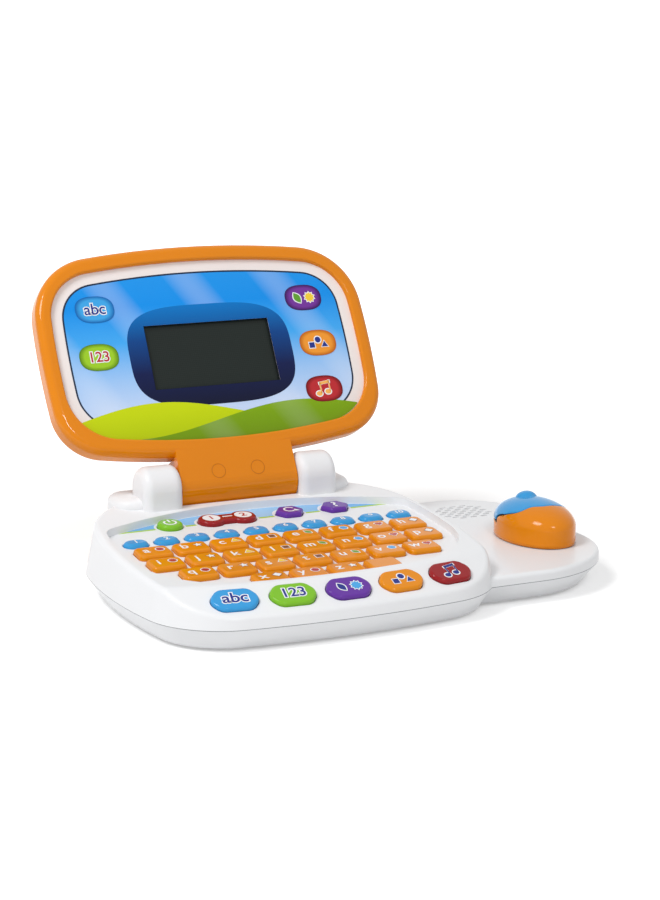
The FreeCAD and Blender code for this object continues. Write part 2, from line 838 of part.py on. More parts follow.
def grille_slots():
    """Staggered slots over the speaker, kept inside the cone's circle."""
    pitch_x, pitch_y = number("grille_pitch_x"), number("grille_pitch_y")
    length, width = number("grille_slot_length"), number("grille_slot_width")
    middle = Vector(number("speaker_place_x"), number("speaker_place_y"), number("parting_height"))
    reach = number("cone_radius")
    rows = int(reach / pitch_y)
    slots = []
    for row in range(-rows, rows + 1):
        stagger = pitch_x / 2 * (row % 2)
        columns = int(reach / pitch_x) + 1
        for column in range(-columns, columns + 1):
            x, y = column * pitch_x + stagger, row * pitch_y
            if math.hypot(abs(x) + length / 2, abs(y) + width / 2) < reach:
                corner = middle + Vector(x - length / 2, y - width / 2, 0)
                slots.append(Part.makeBox(length, width, number("wing_top"), corner))
    return feature("grille_slots", Part.makeCompound(slots))


def mouse_window():
    """The hole in the wing's top that the mouse's stem moves in."""
    side = size("mouse_stem") + size("mouse_travel") * 2 + size("mouse_clearance") * 2
    return box("mouse_window", side, side, size("wing_top"), size("mouse_place_x") - side / 2,
               size("mouse_place_y") - side / 2, size("parting_height"))


def make_upper_case(keys):
    """The white upper shell: deck, dish, wing, raised back and lugs, hollow below, open at every key."""
    parting, wall = size("parting_height"), size("case_wall")
    form = deck_form("deck_form", 0)
    crest = fillet("deck_crest", form, number("crest_round"), lambda edge: is_crest_edge(edge, form.Shape))
    lowest = parting.value + 1e-3
    deck = fillet("deck_rim", crest, number("rim_edge"), lambda edge: is_rim_edge(edge, crest.Shape, lowest))
    wing_block = prism("wing_block", wing_outline(), parting, size("wing_top"))
    wing_left = number("deck_half_width") / 2
    wing = fillet("wing_form", wing_block, number("wing_edge"),
                  lambda edge: lies_at(number("wing_top"))(edge) and edge.BoundBox.XMax > wing_left + 1e-3)
    hump_block = prism("hump_block", hump_outline(), parting, size("hump_height"))
    hump = fillet("hump_form", hump_block, number("hump_edge"), lies_at(number("hump_height")))
    solid = joined("Part::MultiFuse", "case_solid",
                   [deck, wing, hump, hinge_lug("left_lug", -1), hinge_lug("right_lug", 1)])
    hump_inside = prism("hump_inside", hump_outline(wall.value), parting, size("hump_height") - wall)
    inside = joined("Part::MultiFuse", "case_inside", [deck_form("deck_inside", 1), hump_inside])
    walls = joined("Part::MultiFuse", "case_walls",
                   [dish_tool("dish_wall", wall.value, wall), hinge_trough("trough_wall", wall)])
    deck_hollow = cut("deck_hollow", inside, walls)
    wing_hollow = prism("wing_hollow", wing_outline(wall.value), parting, size("wing_top") - wall)
    apertures = feature("key_apertures", Part.makeCompound([key.placed_aperture() for key in keys]))
    dish = dish_tool("dish", 0.0, wall * 0)
    tools = [dish, deck_hollow, wing_hollow, apertures, grille_slots(), mouse_window(),
             hinge_trough("trough", wall * 0)] + pin_bores()
    case = solid
    for index, tool in enumerate(tools):
        case = cut(f"case_cut_{index}", case, tool)
    case.Label = "upper_case"
    return case


def is_crest_edge(edge, shape):
    """Whether an edge is where the flat top meets the front slope, the one wide cone of the form."""
    surfaces = [face.Surface for face in shape.ancestorsOfType(edge, Part.Face)]
    planes = [one for one in surfaces if one.TypeId == "Part::GeomPlane"]
    cones = [one for one in surfaces if one.TypeId == "Part::GeomCone" and abs(one.SemiAngle) > math.pi / 6]
    return len(planes) == 1 and len(cones) == 1


def is_rim_edge(edge, shape, lowest):
    """Whether an edge is part of the outer top edge: sharp, and above the parting line."""
    if edge.BoundBox.ZMin < lowest:
        return False
    faces = shape.ancestorsOfType(edge, Part.Face)
    if len(faces) != 2:
        return False
    middle = edge.valueAt((edge.FirstParameter + edge.LastParameter) / 2)
    normals = [face.normalAt(*face.Surface.parameter(middle)) for face in faces]
    return normals[0].getAngle(normals[1]) > math.radians(15)


def make_lower_case():
    """The white lower shell: sides that taper in to the foot, board bosses, slider rails, battery bay."""
    bottom, parting, wall = size("floor_gap"), size("parting_height"), size("case_wall")
    taper, wing_taper = number("lower_taper"), number("wing_taper")
    share = 1 - wall.value / (parting.value - bottom.value)
    outer, inner = [], []
    for name, outline, lean in (("deck", deck_outline, taper), ("wing", wing_outline, wing_taper),
                                ("hump", hump_outline, taper)):
        outer.append(tapered(f"lower_{name}", outline(lean), bottom, outline(), parting))
        inner.append(tapered(f"lower_{name}_inside", outline(lean * share + wall.value), bottom + wall,
                             outline(wall.value), parting))
    shell = cut("lower_shell", joined("Part::MultiFuse", "lower_outer", outer),
                joined("Part::MultiFuse", "lower_inner", inner))
    bay = bay_sizes()
    floor = bottom + wall / 2
    fittings = board_bosses(floor) + slider_rails(floor)
    side = size("bay_wall")
    bay_height = bay["top"] + side - floor
    fittings.append(box("bay_walls", bay["length"] + side * 2, bay["width"] + side * 2, bay_height,
                        -(bay["length"] / 2 + side), bay["front"] - side, floor))
    case = joined("Part::MultiFuse", "lower_fitted", [shell] + fittings)
    hollow = box("bay_hollow", bay["length"], bay["width"], bay["top"] - bottom, -(bay["length"] / 2),
                 bay["front"], bottom)
    lap, gap = size("door_lap"), size("door_gap")
    rebate = box("door_rebate", bay["length"] + (lap + gap) * 2, bay["width"] + (lap + gap) * 2,
                 size("door_thickness"), -(bay["length"] / 2 + lap + gap), bay["front"] - lap - gap, bottom)
    case = cut("lower_case", cut("lower_with_bay", case, hollow), rebate)
    return case


def bay_sizes():
    """The battery bay's inside: room for the cells side by side, lying along X."""
    gap, radius = size("cell_gap"), size("cell_radius")
    width = (radius * 2 + gap) * CELL_COUNT + gap
    length = size("cell_length") + size("cell_tip") + gap * 2
    cell_height = size("floor_gap") + size("door_thickness") + gap + radius
    return {"width": width, "length": length, "front": size("bay_place") - width / 2,
            "cell_height": cell_height, "top": cell_height + radius + gap}


def board_bosses(floor):
    """Round bosses that carry the circuit board, their tops cut to its tilt."""
    face = board_depth_under_deck() + size("board_thickness")
    tilt = size("deck_tilt")
    clear = above_plane("boss_trim", size("deck_floor_height") - face / tilt.cos(), tilt)
    bosses = []
    for row in ("front", "back"):
        for side in (-1, 1):
            place_x, place_y = size("boss_place_x") * side, size(f"boss_{row}")
            name = f"boss_{row}_{'left' if side < 0 else 'right'}"
            bosses.append(cylinder(name, size("boss_radius"), size("deck_floor_height") - floor,
                                   place_x, place_y, floor))
    return [cut("board_bosses", joined("Part::MultiFuse", "boss_columns", bosses), clear)]


def slider_bottom():
    """The height of the mouse slider's underside, just below the wing's top wall."""
    return size("wing_top") - size("case_wall") - size("slider_gap") - size("slider_thickness")


def slider_rails(floor):
    """Two rails along X that the mouse slider runs on."""
    length = size("slider_size") + size("mouse_travel") * 2
    rail = size("slider_rail")
    height = slider_bottom() - size("slider_gap") - floor
    left = size("mouse_place_x") - length / 2
    edge = size("slider_size") / 2
    return [box("slider_rail_front", length, rail, height, left, size("mouse_place_y") - edge, floor),
            box("slider_rail_back", length, rail, height, left, size("mouse_place_y") + edge - rail, floor)]


def make_battery_door():
    """The flat door that closes the battery bay, flush with the underside."""
    bay = bay_sizes()
    lap = size("door_lap")
    body = doc.addObject("PartDesign::Body", "battery_door")
    plan = rectangle(bay["length"] + lap * 2, bay["width"] + lap * 2)
    pad(body, "door_plate", lap * 0, size("door_thickness"), lambda sketch: draw_polygon(sketch, plan))
    round_edges(body, "door_corners", size("door_corner"), is_upright)
    return place(body, lap * 0, size("bay_place"), size("floor_gap"))


def make_batteries():
    """Three dry cells lying side by side, turn about."""
    bay = bay_sizes()
    radius, length, tip_length = size("cell_radius"), size("cell_length"), size("cell_tip")
    gap, height = size("cell_gap"), bay["cell_height"]
    cells = []
    for index in range(CELL_COUNT):
        side = 1 if index % 2 == 0 else -1
        turn = FreeCAD.Rotation(Vector(0, 1, 0), 90 * side)
        y = bay["front"] + gap + radius + (radius * 2 + gap) * index
        start = -((length + tip_length) / 2) * side
        can = cylinder(f"cell_can_{index}", radius, length, start, y, height, turn)
        tip = cylinder(f"cell_tip_{index}", size("cell_tip_radius"), tip_length * 2,
                       start + (length - tip_length) * side, y, height, turn)
        cells.append(joined("Part::MultiFuse", f"cell_{index}", [can, tip]))
    group = joined("Part::Compound", "batteries", cells)
    return group


def make_circuit_board():
    """The board under the keys, parallel to the deck."""
    inset = number("board_inset")
    bows = (number("deck_front_bow") - inset, number("deck_side_bow") - inset, number("deck_back_bow"))
    corners = (number("deck_front_corner") - inset, number("deck_back_corner") - inset)
    half, front = number("deck_half_width") - inset, number("deck_front") + inset
    wire = bowed_outline(half, front, number("board_back"), number("deck_widest"), bows, corners)
    top = -board_depth_under_deck()
    board = prism("circuit_board", wire, top - size("board_thickness"), top)
    turn = FreeCAD.Rotation(X_AXIS, number("deck_tilt"))
    return place(board, top * 0, top * 0, size("deck_floor_height"), turn)


def make_speaker():
    """A small loudspeaker, its rim against the wing's top wall: magnet, basket and cone turned as one."""
    body = doc.addObject("PartDesign::Body", "speaker")
    depth, rim, radius = size("speaker_depth"), size("speaker_rim"), size("speaker_radius")
    nil = depth * 0
    profile = [(nil, -depth), (size("magnet_radius"), -depth), (size("magnet_radius"), -(depth / 2)),
               (radius, -rim), (radius, nil), (size("cone_radius"), nil),
               (size("magnet_radius") / 2, -size("cone_depth")), (nil, -size("cone_depth"))]
    sketch = sketch_on(body, "speaker_profile", nil, "XZ_Plane")
    draw_polygon(sketch, profile)
    turned = body.newObject("PartDesign::Revolution", "speaker_turned")
    turned.Profile = sketch
    turned.ReferenceAxis = (sketch, ["V_Axis"])
    turned.Angle = 360
    return place(body, size("speaker_place_x"), size("speaker_place_y"), size("wing_top") - size("case_wall"))


def make_rubber_feet():
    """Round rubber feet against the underside: two in front, two at the back, two under the wing."""
    side, front, back = size("foot_side"), size("foot_front"), size("foot_back")
    front_x, back_x = size("deck_half_width") - side, size("hump_half_width") - side
    wing_x = size("wing_right") - side
    front_y, back_y = size("deck_front") + front, size("deck_back") - back
    places = [(-front_x, front_y), (front_x, front_y), (-back_x, back_y), (back_x, back_y),
              (wing_x, size("wing_front") + front), (wing_x, back_y)]
    feet = [cylinder(f"foot_{index}", size("foot_radius"), size("floor_gap"), x, y, side * 0)
            for index, (x, y) in enumerate(places)]
    return joined("Part::Compound", "rubber_feet", feet)


def stand_lid(thing):
    """Stand a piece of the lid, drawn flat with the hinge axis as its X axis, open at the hinge."""
    turn = FreeCAD.Rotation(X_AXIS, 90 - number("lid_recline"))
    nil = size("hinge_place") * 0
    return place(thing, nil, size("hinge_place"), size("hinge_height"), turn)


def make_lid_frame():
    """The orange front half of the lid: a soft-edged frame, the hinge tongue and its two pins."""
    front = size("lid_thickness") / 2
    nil = front * 0
    plate_back = front - size("frame_depth")
    slab = prism("frame_slab", lid_outline(), nil, front)
    soft = fillet("frame_soft", slab, number("lid_edge"), lies_at(front.value))
    opening = prism("frame_opening", lid_opening(), nil, front)
    ring = cut("frame_ring", soft, opening)
    edge = number("lid_half_width") - number("frame_side")
    inner = fillet("frame_inner", ring, number("frame_inner_edge"),
                   lambda one: lies_at(front.value)(one) and is_inside_opening(one, edge))
    hollow = prism("frame_hollow", lid_outline(number("lid_wall")), nil, plate_back)
    shell = cut("frame_shell", inner, hollow)
    return stand_lid(named(joined("Part::MultiFuse", "frame_whole", [shell] + hinge_tongue()), "lid_frame"))


def is_inside_opening(edge, half_width):
    """Whether an edge of the frame's front face belongs to its opening."""
    bounds = edge.BoundBox
    bottom = number("lid_bottom") + number("frame_bottom")
    top = number("lid_top") - number("frame_top")
    slack = 0.1
    return (bounds.XMax < half_width + slack and bounds.XMin > -half_width - slack
            and bounds.YMin > bottom - slack and bounds.YMax < top + slack)


def hinge_tongue():
    """The tongue between the lugs: as thick as the lid, with a round heel below and a pin at each end.

    The heel is what two round bars share: one about the hinge axis, which sets the room that it turns
    in, and one that rolls the tongue's flat front over into the underside.
    """
    thickness, half = size("lid_thickness"), size("tongue_half_width")
    along_x = FreeCAD.Rotation(Vector(0, 1, 0), 90)
    nil = half * 0
    sweep = cylinder("heel_sweep", size("heel_radius"), half * 2, -half, nil, nil, along_x)
    round_place = thickness / 2 - size("heel_round")
    roll = cylinder("heel_roll", size("heel_round"), half * 2, -half, nil, round_place, along_x)
    heel = joined("Part::MultiCommon", "heel", [sweep, roll])
    reach = size("lid_bottom") + size("frame_bottom") / 2
    front = box("tongue_front", half * 2, reach, thickness / 2, -half, nil, nil)
    back = box("tongue_back", half * 2, reach, thickness / 2, -half, nil, -(thickness / 2))
    lid_room = prism("tongue_room", lid_outline(-number("tongue_gap")), -thickness, nil)
    hollow = prism("tongue_hollow", lid_outline(number("lid_wall")), nil, thickness / 2 - size("frame_depth"))
    length = size("hinge_pin_length")
    pins = [cylinder("pin_left", size("hinge_pin_radius"), length, -(half + length), nil, nil, along_x),
            cylinder("pin_right", size("hinge_pin_radius"), length, half, nil, nil, along_x)]
    return [heel, cut("tongue_front_open", front, hollow), cut("tongue_back_open", back, lid_room)] + pins


def make_lid_back():
    """The back half of the lid: a shallow tray with a soft outer edge."""
    back = size("lid_thickness") / 2
    nil = back * 0
    slab = prism("back_slab", lid_outline(), -back, nil)
    soft = fillet("back_soft", slab, number("lid_edge"), lies_at(-back.value))
    hollow = prism("back_hollow", lid_outline(number("lid_wall")), size("lid_wall") - back, nil)
    return stand_lid(named(cut("back_tray", soft, hollow), "lid_back"))


def make_screen_panel():
    """The printed panel behind the frame, with the window for the display."""
    front = size("lid_thickness") / 2 - size("frame_depth")
    back = front - size("panel_thickness")
    sheet_solid = prism("panel_sheet", lid_opening(number("panel_lap")), back, front)
    width, height = size("screen_width"), size("screen_height")
    window = box("panel_window", width, height, size("panel_thickness"), -(width / 2),
                 size("screen_place") - height / 2, back)
    return stand_lid(named(cut("panel_cut", sheet_solid, window), "screen_panel"))


def make_lcd_module():
    """The display behind the window, wider than it by a margin."""
    front = size("lid_thickness") / 2 - size("frame_depth") - size("panel_thickness")
    margin = size("screen_margin") * 2
    body = doc.addObject("PartDesign::Body", "lcd_module")
    plan = rectangle(size("screen_width") + margin, size("screen_height") + margin)
    lifted = [(x, y + size("screen_place")) for x, y in plan]
    pad(body, "lcd_plate", front - size("screen_thickness"), size("screen_thickness"),
        lambda sketch: draw_polygon(sketch, lifted))
    return stand_lid(body)


def mouse_base():
    """The height of the mouse's underside, just clear of the wing."""
    return size("wing_top") + size("mouse_clearance")


def mouse_form(name):
    """The mouse's whole outer form: an oval skirt with half an ellipsoid on it."""
    x, y, base = size("mouse_place_x"), size("mouse_place_y"), mouse_base()
    half_length, half_width = size("mouse_half_length"), size("mouse_half_width")
    oval = doc.addObject("Part::Ellipse", name + "_oval")
    bind(oval, MajorRadius=half_length, MinorRadius=half_width)
    place(oval, x, y, base, FreeCAD.Rotation(Z_AXIS, 90))
    skirt = doc.addObject("Part::Extrusion", name + "_skirt")
    skirt.Base = oval
    skirt.DirMode = "Custom"
    skirt.Dir = Z_AXIS
    skirt.Solid = True
    bind(skirt, LengthFwd=size("mouse_skirt"))
    dome = doc.addObject("Part::Ellipsoid", name + "_dome")
    bind(dome, Radius1=size("mouse_dome"), Radius2=half_width, Radius3=half_length)
    dome.Angle1 = 0
    place(dome, x, y, base + size("mouse_skirt"))
    return joined("Part::MultiFuse", name, [skirt, dome])


def button_room(name, gap, bottom):
    """All that lies behind the button's wavy front edge, from a height upwards.

    The edge runs across the mouse in an S, further back on the left than on the right.
    """
    half, length = number("mouse_half_width"), number("mouse_half_length")
    middle = Vector(number("mouse_place_x"), number("mouse_place_y"), bottom.value)
    points = [middle + Vector(half * x, length * y - gap, 0) for x, y in BUTTON_WAVE]
    wave = Part.BSplineCurve()
    wave.interpolate(points)
    back = middle.y + length + half
    left, right = points[0], points[-1]
    corners = [right, Vector(right.x, back, bottom.value), Vector(left.x, back, bottom.value), left]
    wire = Part.Wire([wave.toShape()] + [Part.makeLine(a, b) for a, b in zip(corners, corners[1:])])
    return feature(name, Part.Face(wire).extrude(Vector(0, 0, number("mouse_dome") * 2)))


def button_bottom():
    """The height of the mouse button's lower edge."""
    return mouse_base() + size("mouse_skirt") + size("mouse_dome") - size("mouse_button_depth")


def button_pin(name, grow, length):
    """The pin under the mouse button, or the bore that guides it."""
    y = size("mouse_place_y") + size("mouse_bump_back")
    return cylinder(name, size("button_pin_radius") + grow, length, size("mouse_place_x"), y,
                    button_bottom() - length)


def make_mouse_button():
    """The blue press cap over the mouse's back, with a round bump and a guide pin."""
    gap = size("mouse_button_gap")
    cap = joined("Part::MultiCommon", "button_cap",
                 [mouse_form("button_form"), button_room("button_reach", 0.0, button_bottom())])
    bump = doc.addObject("Part::Sphere", "button_bump")
    bind(bump, Radius=size("mouse_bump_radius"))
    share = size("mouse_bump_back") / size("mouse_half_length")
    crown = mouse_base() + size("mouse_skirt") + size("mouse_dome") * math.sqrt(1 - share.value ** 2)
    place(bump, size("mouse_place_x"), size("mouse_place_y") + size("mouse_bump_back"),
          crown + size("mouse_bump_height") - size("mouse_bump_radius"))
    pin = button_pin("button_pin", gap * 0, size("button_pin_length"))
    return named(joined("Part::MultiFuse", "button_whole", [cap, bump, pin]), "mouse_button")


def make_mouse_shell():
    """The orange mouse body: room for the button, and a stem held under the slider by a retainer."""
    gap, travel = size("mouse_button_gap"), size("mouse_button_travel")
    room_floor = button_bottom() - travel - gap
    body = cut("shell_open", mouse_form("shell_form"), button_room("shell_room", gap.value, room_floor))
    bore_length = travel + gap + size("button_pin_length") + travel + gap
    body = cut("shell_bored", body, button_pin("shell_bore", size("hinge_pin_clearance"), bore_length))
    x, y, stem = size("mouse_place_x"), size("mouse_place_y"), size("mouse_stem")
    retainer_top = slider_bottom() - size("slider_gap")
    drop = mouse_base() - retainer_top
    column = box("shell_stem", stem, stem, drop, x - stem / 2, y - stem / 2, retainer_top)
    wide, thick = size("mouse_retainer"), size("mouse_retainer_thickness")
    retainer = box("shell_retainer", wide, stem, thick, x - wide / 2, y - stem / 2, retainer_top - thick)
    return named(joined("Part::MultiFuse", "shell_whole", [body, column, retainer]), "mouse_shell")


def make_mouse_slider():
    """The plate under the wing that slides left and right, with a slot for the mouse's stem."""
    side, stem, gap = size("slider_size"), size("mouse_stem"), size("slider_gap")
    x, y, bottom = size("mouse_place_x"), size("mouse_place_y"), slider_bottom()
    plate = box("slider_plate", side, side, size("slider_thickness"), x - side / 2, y - side / 2, bottom)
    across = stem + gap * 2
    along = stem + (size("mouse_travel") + gap) * 2
    slot = box("slider_slot", across, along, size("slider_thickness"), x - across / 2, y - along / 2, bottom)
    return named(cut("slider_cut", plate, slot), "mouse_slider")


def named(thing, label):
    """Give a sub-part the label that names its file."""
    thing.Label = label
    return thing


def finish(nodes):
    """Check every object, then write one file for each sub-part."""
    doc.recompute()
    for thing in doc.Objects:
        if "Invalid" in thing.State or "Error" in thing.State:
            raise RuntimeError(f"{thing.Label}: {thing.State}")
    os.makedirs("parts", exist_ok=True)
    to_origin = Vector(-number("origin_right"), -number("origin_back"), 0)
    for node in nodes:
        shape = node.Shape.translated(to_origin)
        if shape.isNull() or not shape.isValid():
            raise RuntimeError(f"{node.Label} has no valid shape")
        shape.exportStep(f"parts/{node.Label}.step")
        print(f"{node.Label}: {len(shape.Solids)} solids, {shape.Volume:.0f} cubic mm")


fill_sheet()
keys = make_keys()
nodes = [key.build() for key in keys]
nodes += [make_upper_case(keys), make_lower_case(), make_battery_door(), make_batteries(),
          make_circuit_board(), make_speaker(), make_rubber_feet(), make_lid_frame(), make_lid_back(),
          make_screen_panel(), make_lcd_module(), make_mouse_shell(), make_mouse_slider(),
          make_mouse_button()]
finish(nodes)
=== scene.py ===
# %% [markdown]
# # A toy laptop computer
# The solids come from the CAD model: a white keyboard base with a side wing, an orange lid on a hinge,
# forty-six push keys and a captive mouse. This lesson gives them their finishes, prints the keys and the
# screen surround, shapes the mouse, and lights the toy as in a catalogue picture.

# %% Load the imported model
import math

import bmesh
import bpy
import numpy as np
from mathutils import Matrix, Vector


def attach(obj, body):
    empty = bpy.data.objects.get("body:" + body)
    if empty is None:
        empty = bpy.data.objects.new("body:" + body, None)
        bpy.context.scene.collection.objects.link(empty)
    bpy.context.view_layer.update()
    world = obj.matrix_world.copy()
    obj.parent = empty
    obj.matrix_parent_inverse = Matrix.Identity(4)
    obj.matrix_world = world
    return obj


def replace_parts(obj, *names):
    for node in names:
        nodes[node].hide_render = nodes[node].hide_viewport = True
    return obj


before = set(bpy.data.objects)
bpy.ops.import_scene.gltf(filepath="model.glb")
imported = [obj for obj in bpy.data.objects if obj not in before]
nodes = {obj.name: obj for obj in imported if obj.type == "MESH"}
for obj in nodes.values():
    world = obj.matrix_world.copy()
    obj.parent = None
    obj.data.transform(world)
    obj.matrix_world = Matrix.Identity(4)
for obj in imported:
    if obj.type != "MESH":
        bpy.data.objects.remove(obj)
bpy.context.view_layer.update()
scene = bpy.context.scene
scene.view_settings.view_transform = "Standard"

# %% [markdown]
# ## Drawing frames
# The keys stand on the tilted deck and on its front slope, and the lid turns about its hinge. Prints are
# easiest to lay out in those same frames, in millimetres. A frame is a 4 by 4 matrix: its columns say
# where across, up and out point in the shared frame, and the last column where its zero lies.

# %% Deck, slope and lid frames
MM = 0.001
ORIGIN = np.array((43.5, 22.9, 0.0))
DECK_TILT = math.radians(5.2)
DECK_HEIGHT = 34.8
FRONT_SLOPE = math.radians(26.0)
FRONT_EDGE, FRONT_LIP, FRONT_BOW = -104.5, 20.3, 480.0
MODE_INSET, MODE_PITCH = 13.4, 33.3
HINGE = (0.0, 69.5, 55.5)
LID_TURN = math.radians(60.9)
LID_FACE = 8.5
PANEL_FACE = 5.3


def frame_at(place, turn):
    """A frame at a place in deck millimetres: move there, turn, then scale millimetres to metres."""
    shift = Matrix.Translation(Vector(np.subtract(place, ORIGIN) * MM))
    return shift @ turn.to_4x4() @ Matrix.Scale(MM, 4)


def deck_frame(x, y):
    """On the tilted deck: the height rises towards the back by the tangent of the tilt."""
    return frame_at((x, y, DECK_HEIGHT + y * math.tan(DECK_TILT)), Matrix.Rotation(DECK_TILT, 3, "X"))


def slope_frame(step):
    """On the bowed front slope: a step is an angle on a wide circle with its middle far behind the deck."""
    row = FRONT_BOW - MODE_INSET
    angle = MODE_PITCH * step / row
    place = (row * math.sin(angle), FRONT_EDGE + FRONT_BOW - row * math.cos(angle),
             FRONT_LIP + MODE_INSET * math.tan(FRONT_SLOPE))
    return frame_at(place, Matrix.Rotation(angle, 3, "Z") @ Matrix.Rotation(FRONT_SLOPE, 3, "X"))


lid_frame = frame_at(HINGE, Matrix.Rotation(LID_TURN, 3, "X"))
print("the lid leans back by", round(90 - math.degrees(LID_TURN), 1), "degrees")

# %% [markdown]
# ## Helpers for material nodes
# A procedural material is a small graph of nodes. Short helpers keep the graphs readable: one adds a node
# and fills its inputs, whether with a plain value or with another node's output, one does sums, and one
# runs through a row of colours.

# %% Node helpers
def add(tree, kind, inputs=None, **settings):
    """A new node with its settings; an input is linked when it is given a socket, and set otherwise."""
    made = tree.nodes.new("ShaderNode" + kind)
    for key, value in settings.items():
        setattr(made, key, value)
    for key, value in (inputs or {}).items():
        if isinstance(value, bpy.types.NodeSocket):
            tree.links.new(value, made.inputs[key])
        else:
            made.inputs[key].default_value = value
    return made


def sums(tree, operation, *values):
    """One step of arithmetic on sockets or numbers, as a socket."""
    return add(tree, "Math", dict(enumerate(values)), operation=operation).outputs[0]


def paint(code):
    """A colour written as six hexadecimal digits, as linear red, green, blue and alpha.

    Each part of a screen colour is undone by the screen's own curve: a straight foot, then a power."""
    part = np.array([int(code[i:i + 2], 16) for i in (0, 2, 4)]) / 255
    linear = np.where(part <= 0.04045, part / 12.92, ((part + 0.055) / 1.055) ** 2.4)
    return (*linear.tolist(), 1.0)


def blend(tree, share, codes, places=None):
    """A colour that runs through codes as a share goes from nothing to one, evenly unless told where."""
    ramp = add(tree, "ValToRGB", {"Fac": share})
    stops = ramp.color_ramp.elements
    stops[0].color, stops[1].color = paint(codes[0]), paint(codes[-1])
    places = np.linspace(0, 1, len(codes)) if places is None else places
    for place, code in list(zip(places, codes))[1:-1]:
        stops.new(place).color = paint(code)
    return ramp.outputs[0]


def shade(name):
    """A new material with its node tree and its Principled shader."""
    material = bpy.data.materials.new(name)
    material.use_nodes = True
    return material, material.node_tree, material.node_tree.nodes["Principled BSDF"]


print("orange is", [round(part, 3) for part in paint("E28402")])

# %% [markdown]
# ## Moulded plastic
# Every shell and key is injection-moulded plastic. Up close such a part isn't one flat colour: the
# pigment drifts a little, the gloss wanders where the melt flowed, and the steel mould leaves a very
# fine grain. One node group makes these three effects, and each plastic places it with its own values.
# Noise that reads the object's own coordinates needs no unwrapping and no picture.

# %% The moulding group
FLOW_SCALE, SWIRL_SCALE, GLOSS_SWING = 26.0, 110.0, 0.10
GRAIN_DEPTH, COAT_ROUGHNESS = 0.0002, 0.06


def moulding_group():
    """Pigment drift, wandering gloss and mould grain from three noises on the object's own coordinates."""
    group = bpy.data.node_groups.new("moulding", "ShaderNodeTree")
    for name, kind in (("Pigment", "Color"), ("Drift", "Float"), ("Gloss", "Float"), ("Grain", "Float")):
        group.interface.new_socket(name=name, in_out="INPUT", socket_type="NodeSocket" + kind)
    for name, kind in (("Color", "Color"), ("Roughness", "Float"), ("Height", "Float")):
        group.interface.new_socket(name=name, in_out="OUTPUT", socket_type="NodeSocket" + kind)
    given = group.nodes.new("NodeGroupInput").outputs
    result = group.nodes.new("NodeGroupOutput").inputs
    place = add(group, "TexCoord").outputs["Object"]
    flow = add(group, "TexNoise", {"Vector": place, "Scale": FLOW_SCALE, "Detail": 3.0}).outputs["Fac"]
    swirl = add(group, "TexNoise", {"Vector": place, "Scale": SWIRL_SCALE, "Detail": 2.0}).outputs["Fac"]
    grain = add(group, "TexNoise", {"Vector": place, "Scale": given["Grain"], "Detail": 2.0}).outputs["Fac"]
    drift = sums(group, "MULTIPLY", sums(group, "SUBTRACT", flow, 0.5), given["Drift"])
    tint = add(group, "HueSaturation", {"Color": given["Pigment"], "Value": sums(group, "ADD", drift, 1.0)})
    glossiest = sums(group, "SUBTRACT", given["Gloss"], GLOSS_SWING / 2)
    polish = sums(group, "MULTIPLY_ADD", swirl, GLOSS_SWING, glossiest)
    group.links.new(tint.outputs["Color"], result["Color"])
    group.links.new(polish, result["Roughness"])
    group.links.new(grain, result["Height"])
    return group


MOULDING = moulding_group()
print("the moulding group has", len(MOULDING.nodes), "nodes")

# %% [markdown]
# A plastic is then the moulding group in front of a Principled shader. The toy's bright pieces are polished,
# which a clear coat shows best. A pigment may also be a pattern: a second helper lets one drive it.

# %% Plastics
def plastic(name, pigment, gloss, coat=0.0, drift=0.05, grain=2600.0, bump=0.04, shine=0.2):
    """A plastic: its pigment through the moulding group, its surface shine, and a clear polish on top."""
    material, tree, shader = shade(name)
    mould = add(tree, "Group", node_tree=MOULDING)
    mould.inputs["Pigment"].default_value = paint(pigment)
    for key, value in (("Drift", drift), ("Gloss", gloss), ("Grain", grain)):
        mould.inputs[key].default_value = value
    relief = add(tree, "Bump", {"Height": mould.outputs["Height"], "Strength": bump,
                                "Distance": GRAIN_DEPTH})
    tree.links.new(mould.outputs["Color"], shader.inputs["Base Color"])
    tree.links.new(mould.outputs["Roughness"], shader.inputs["Roughness"])
    tree.links.new(relief.outputs["Normal"], shader.inputs["Normal"])
    shader.inputs["Specular IOR Level"].default_value = shine
    shader.inputs["Coat Weight"].default_value = coat
    shader.inputs["Coat Roughness"].default_value = COAT_ROUGHNESS
    return material


def polished(name, pigment, gloss=0.16):
    """A bright plastic with a polished skin: little shine of its own under a clear coat."""
    return plastic(name, pigment, gloss, coat=0.34, shine=0.08)


def dye(material, colour):
    """Let a colour socket drive a plastic's pigment in place of one plain colour."""
    tree = material.node_tree
    mould = next(node for node in tree.nodes if node.type == "GROUP" and node.node_tree == MOULDING)
    tree.links.new(colour, mould.inputs["Pigment"])
    return material


def wear(name, material):
    """Give a CAD node a material."""
    node = nodes[name]
    if not node.material_slots:
        node.data.materials.append(None)
    node.material_slots[0].material = material


orange_shell = polished("orange_shell_plastic", "E28402", 0.14)
orange_key = polished("orange_key_plastic", "E68C00")
blue_key = polished("blue_key_plastic", "359BDA")
green_key = polished("green_key_plastic", "7DBE24")
purple_key = polished("purple_key_plastic", "64309E")
red_key = polished("red_key_plastic", "98141A")
print("six coloured plastics")

# %% [markdown]
# ## The white case
# The case is satin white, a little cool. Three things show on it. Where the two shells meet, a fine dark
# line runs all round. Behind the function buttons a pale blue crescent with a lime edge is printed on the
# floor of the dish, and each button keeps a white margin. A print this simple needs no picture: sums on
# the surface's own coordinates say whether a point lies inside a circle, behind a line or near the floor.

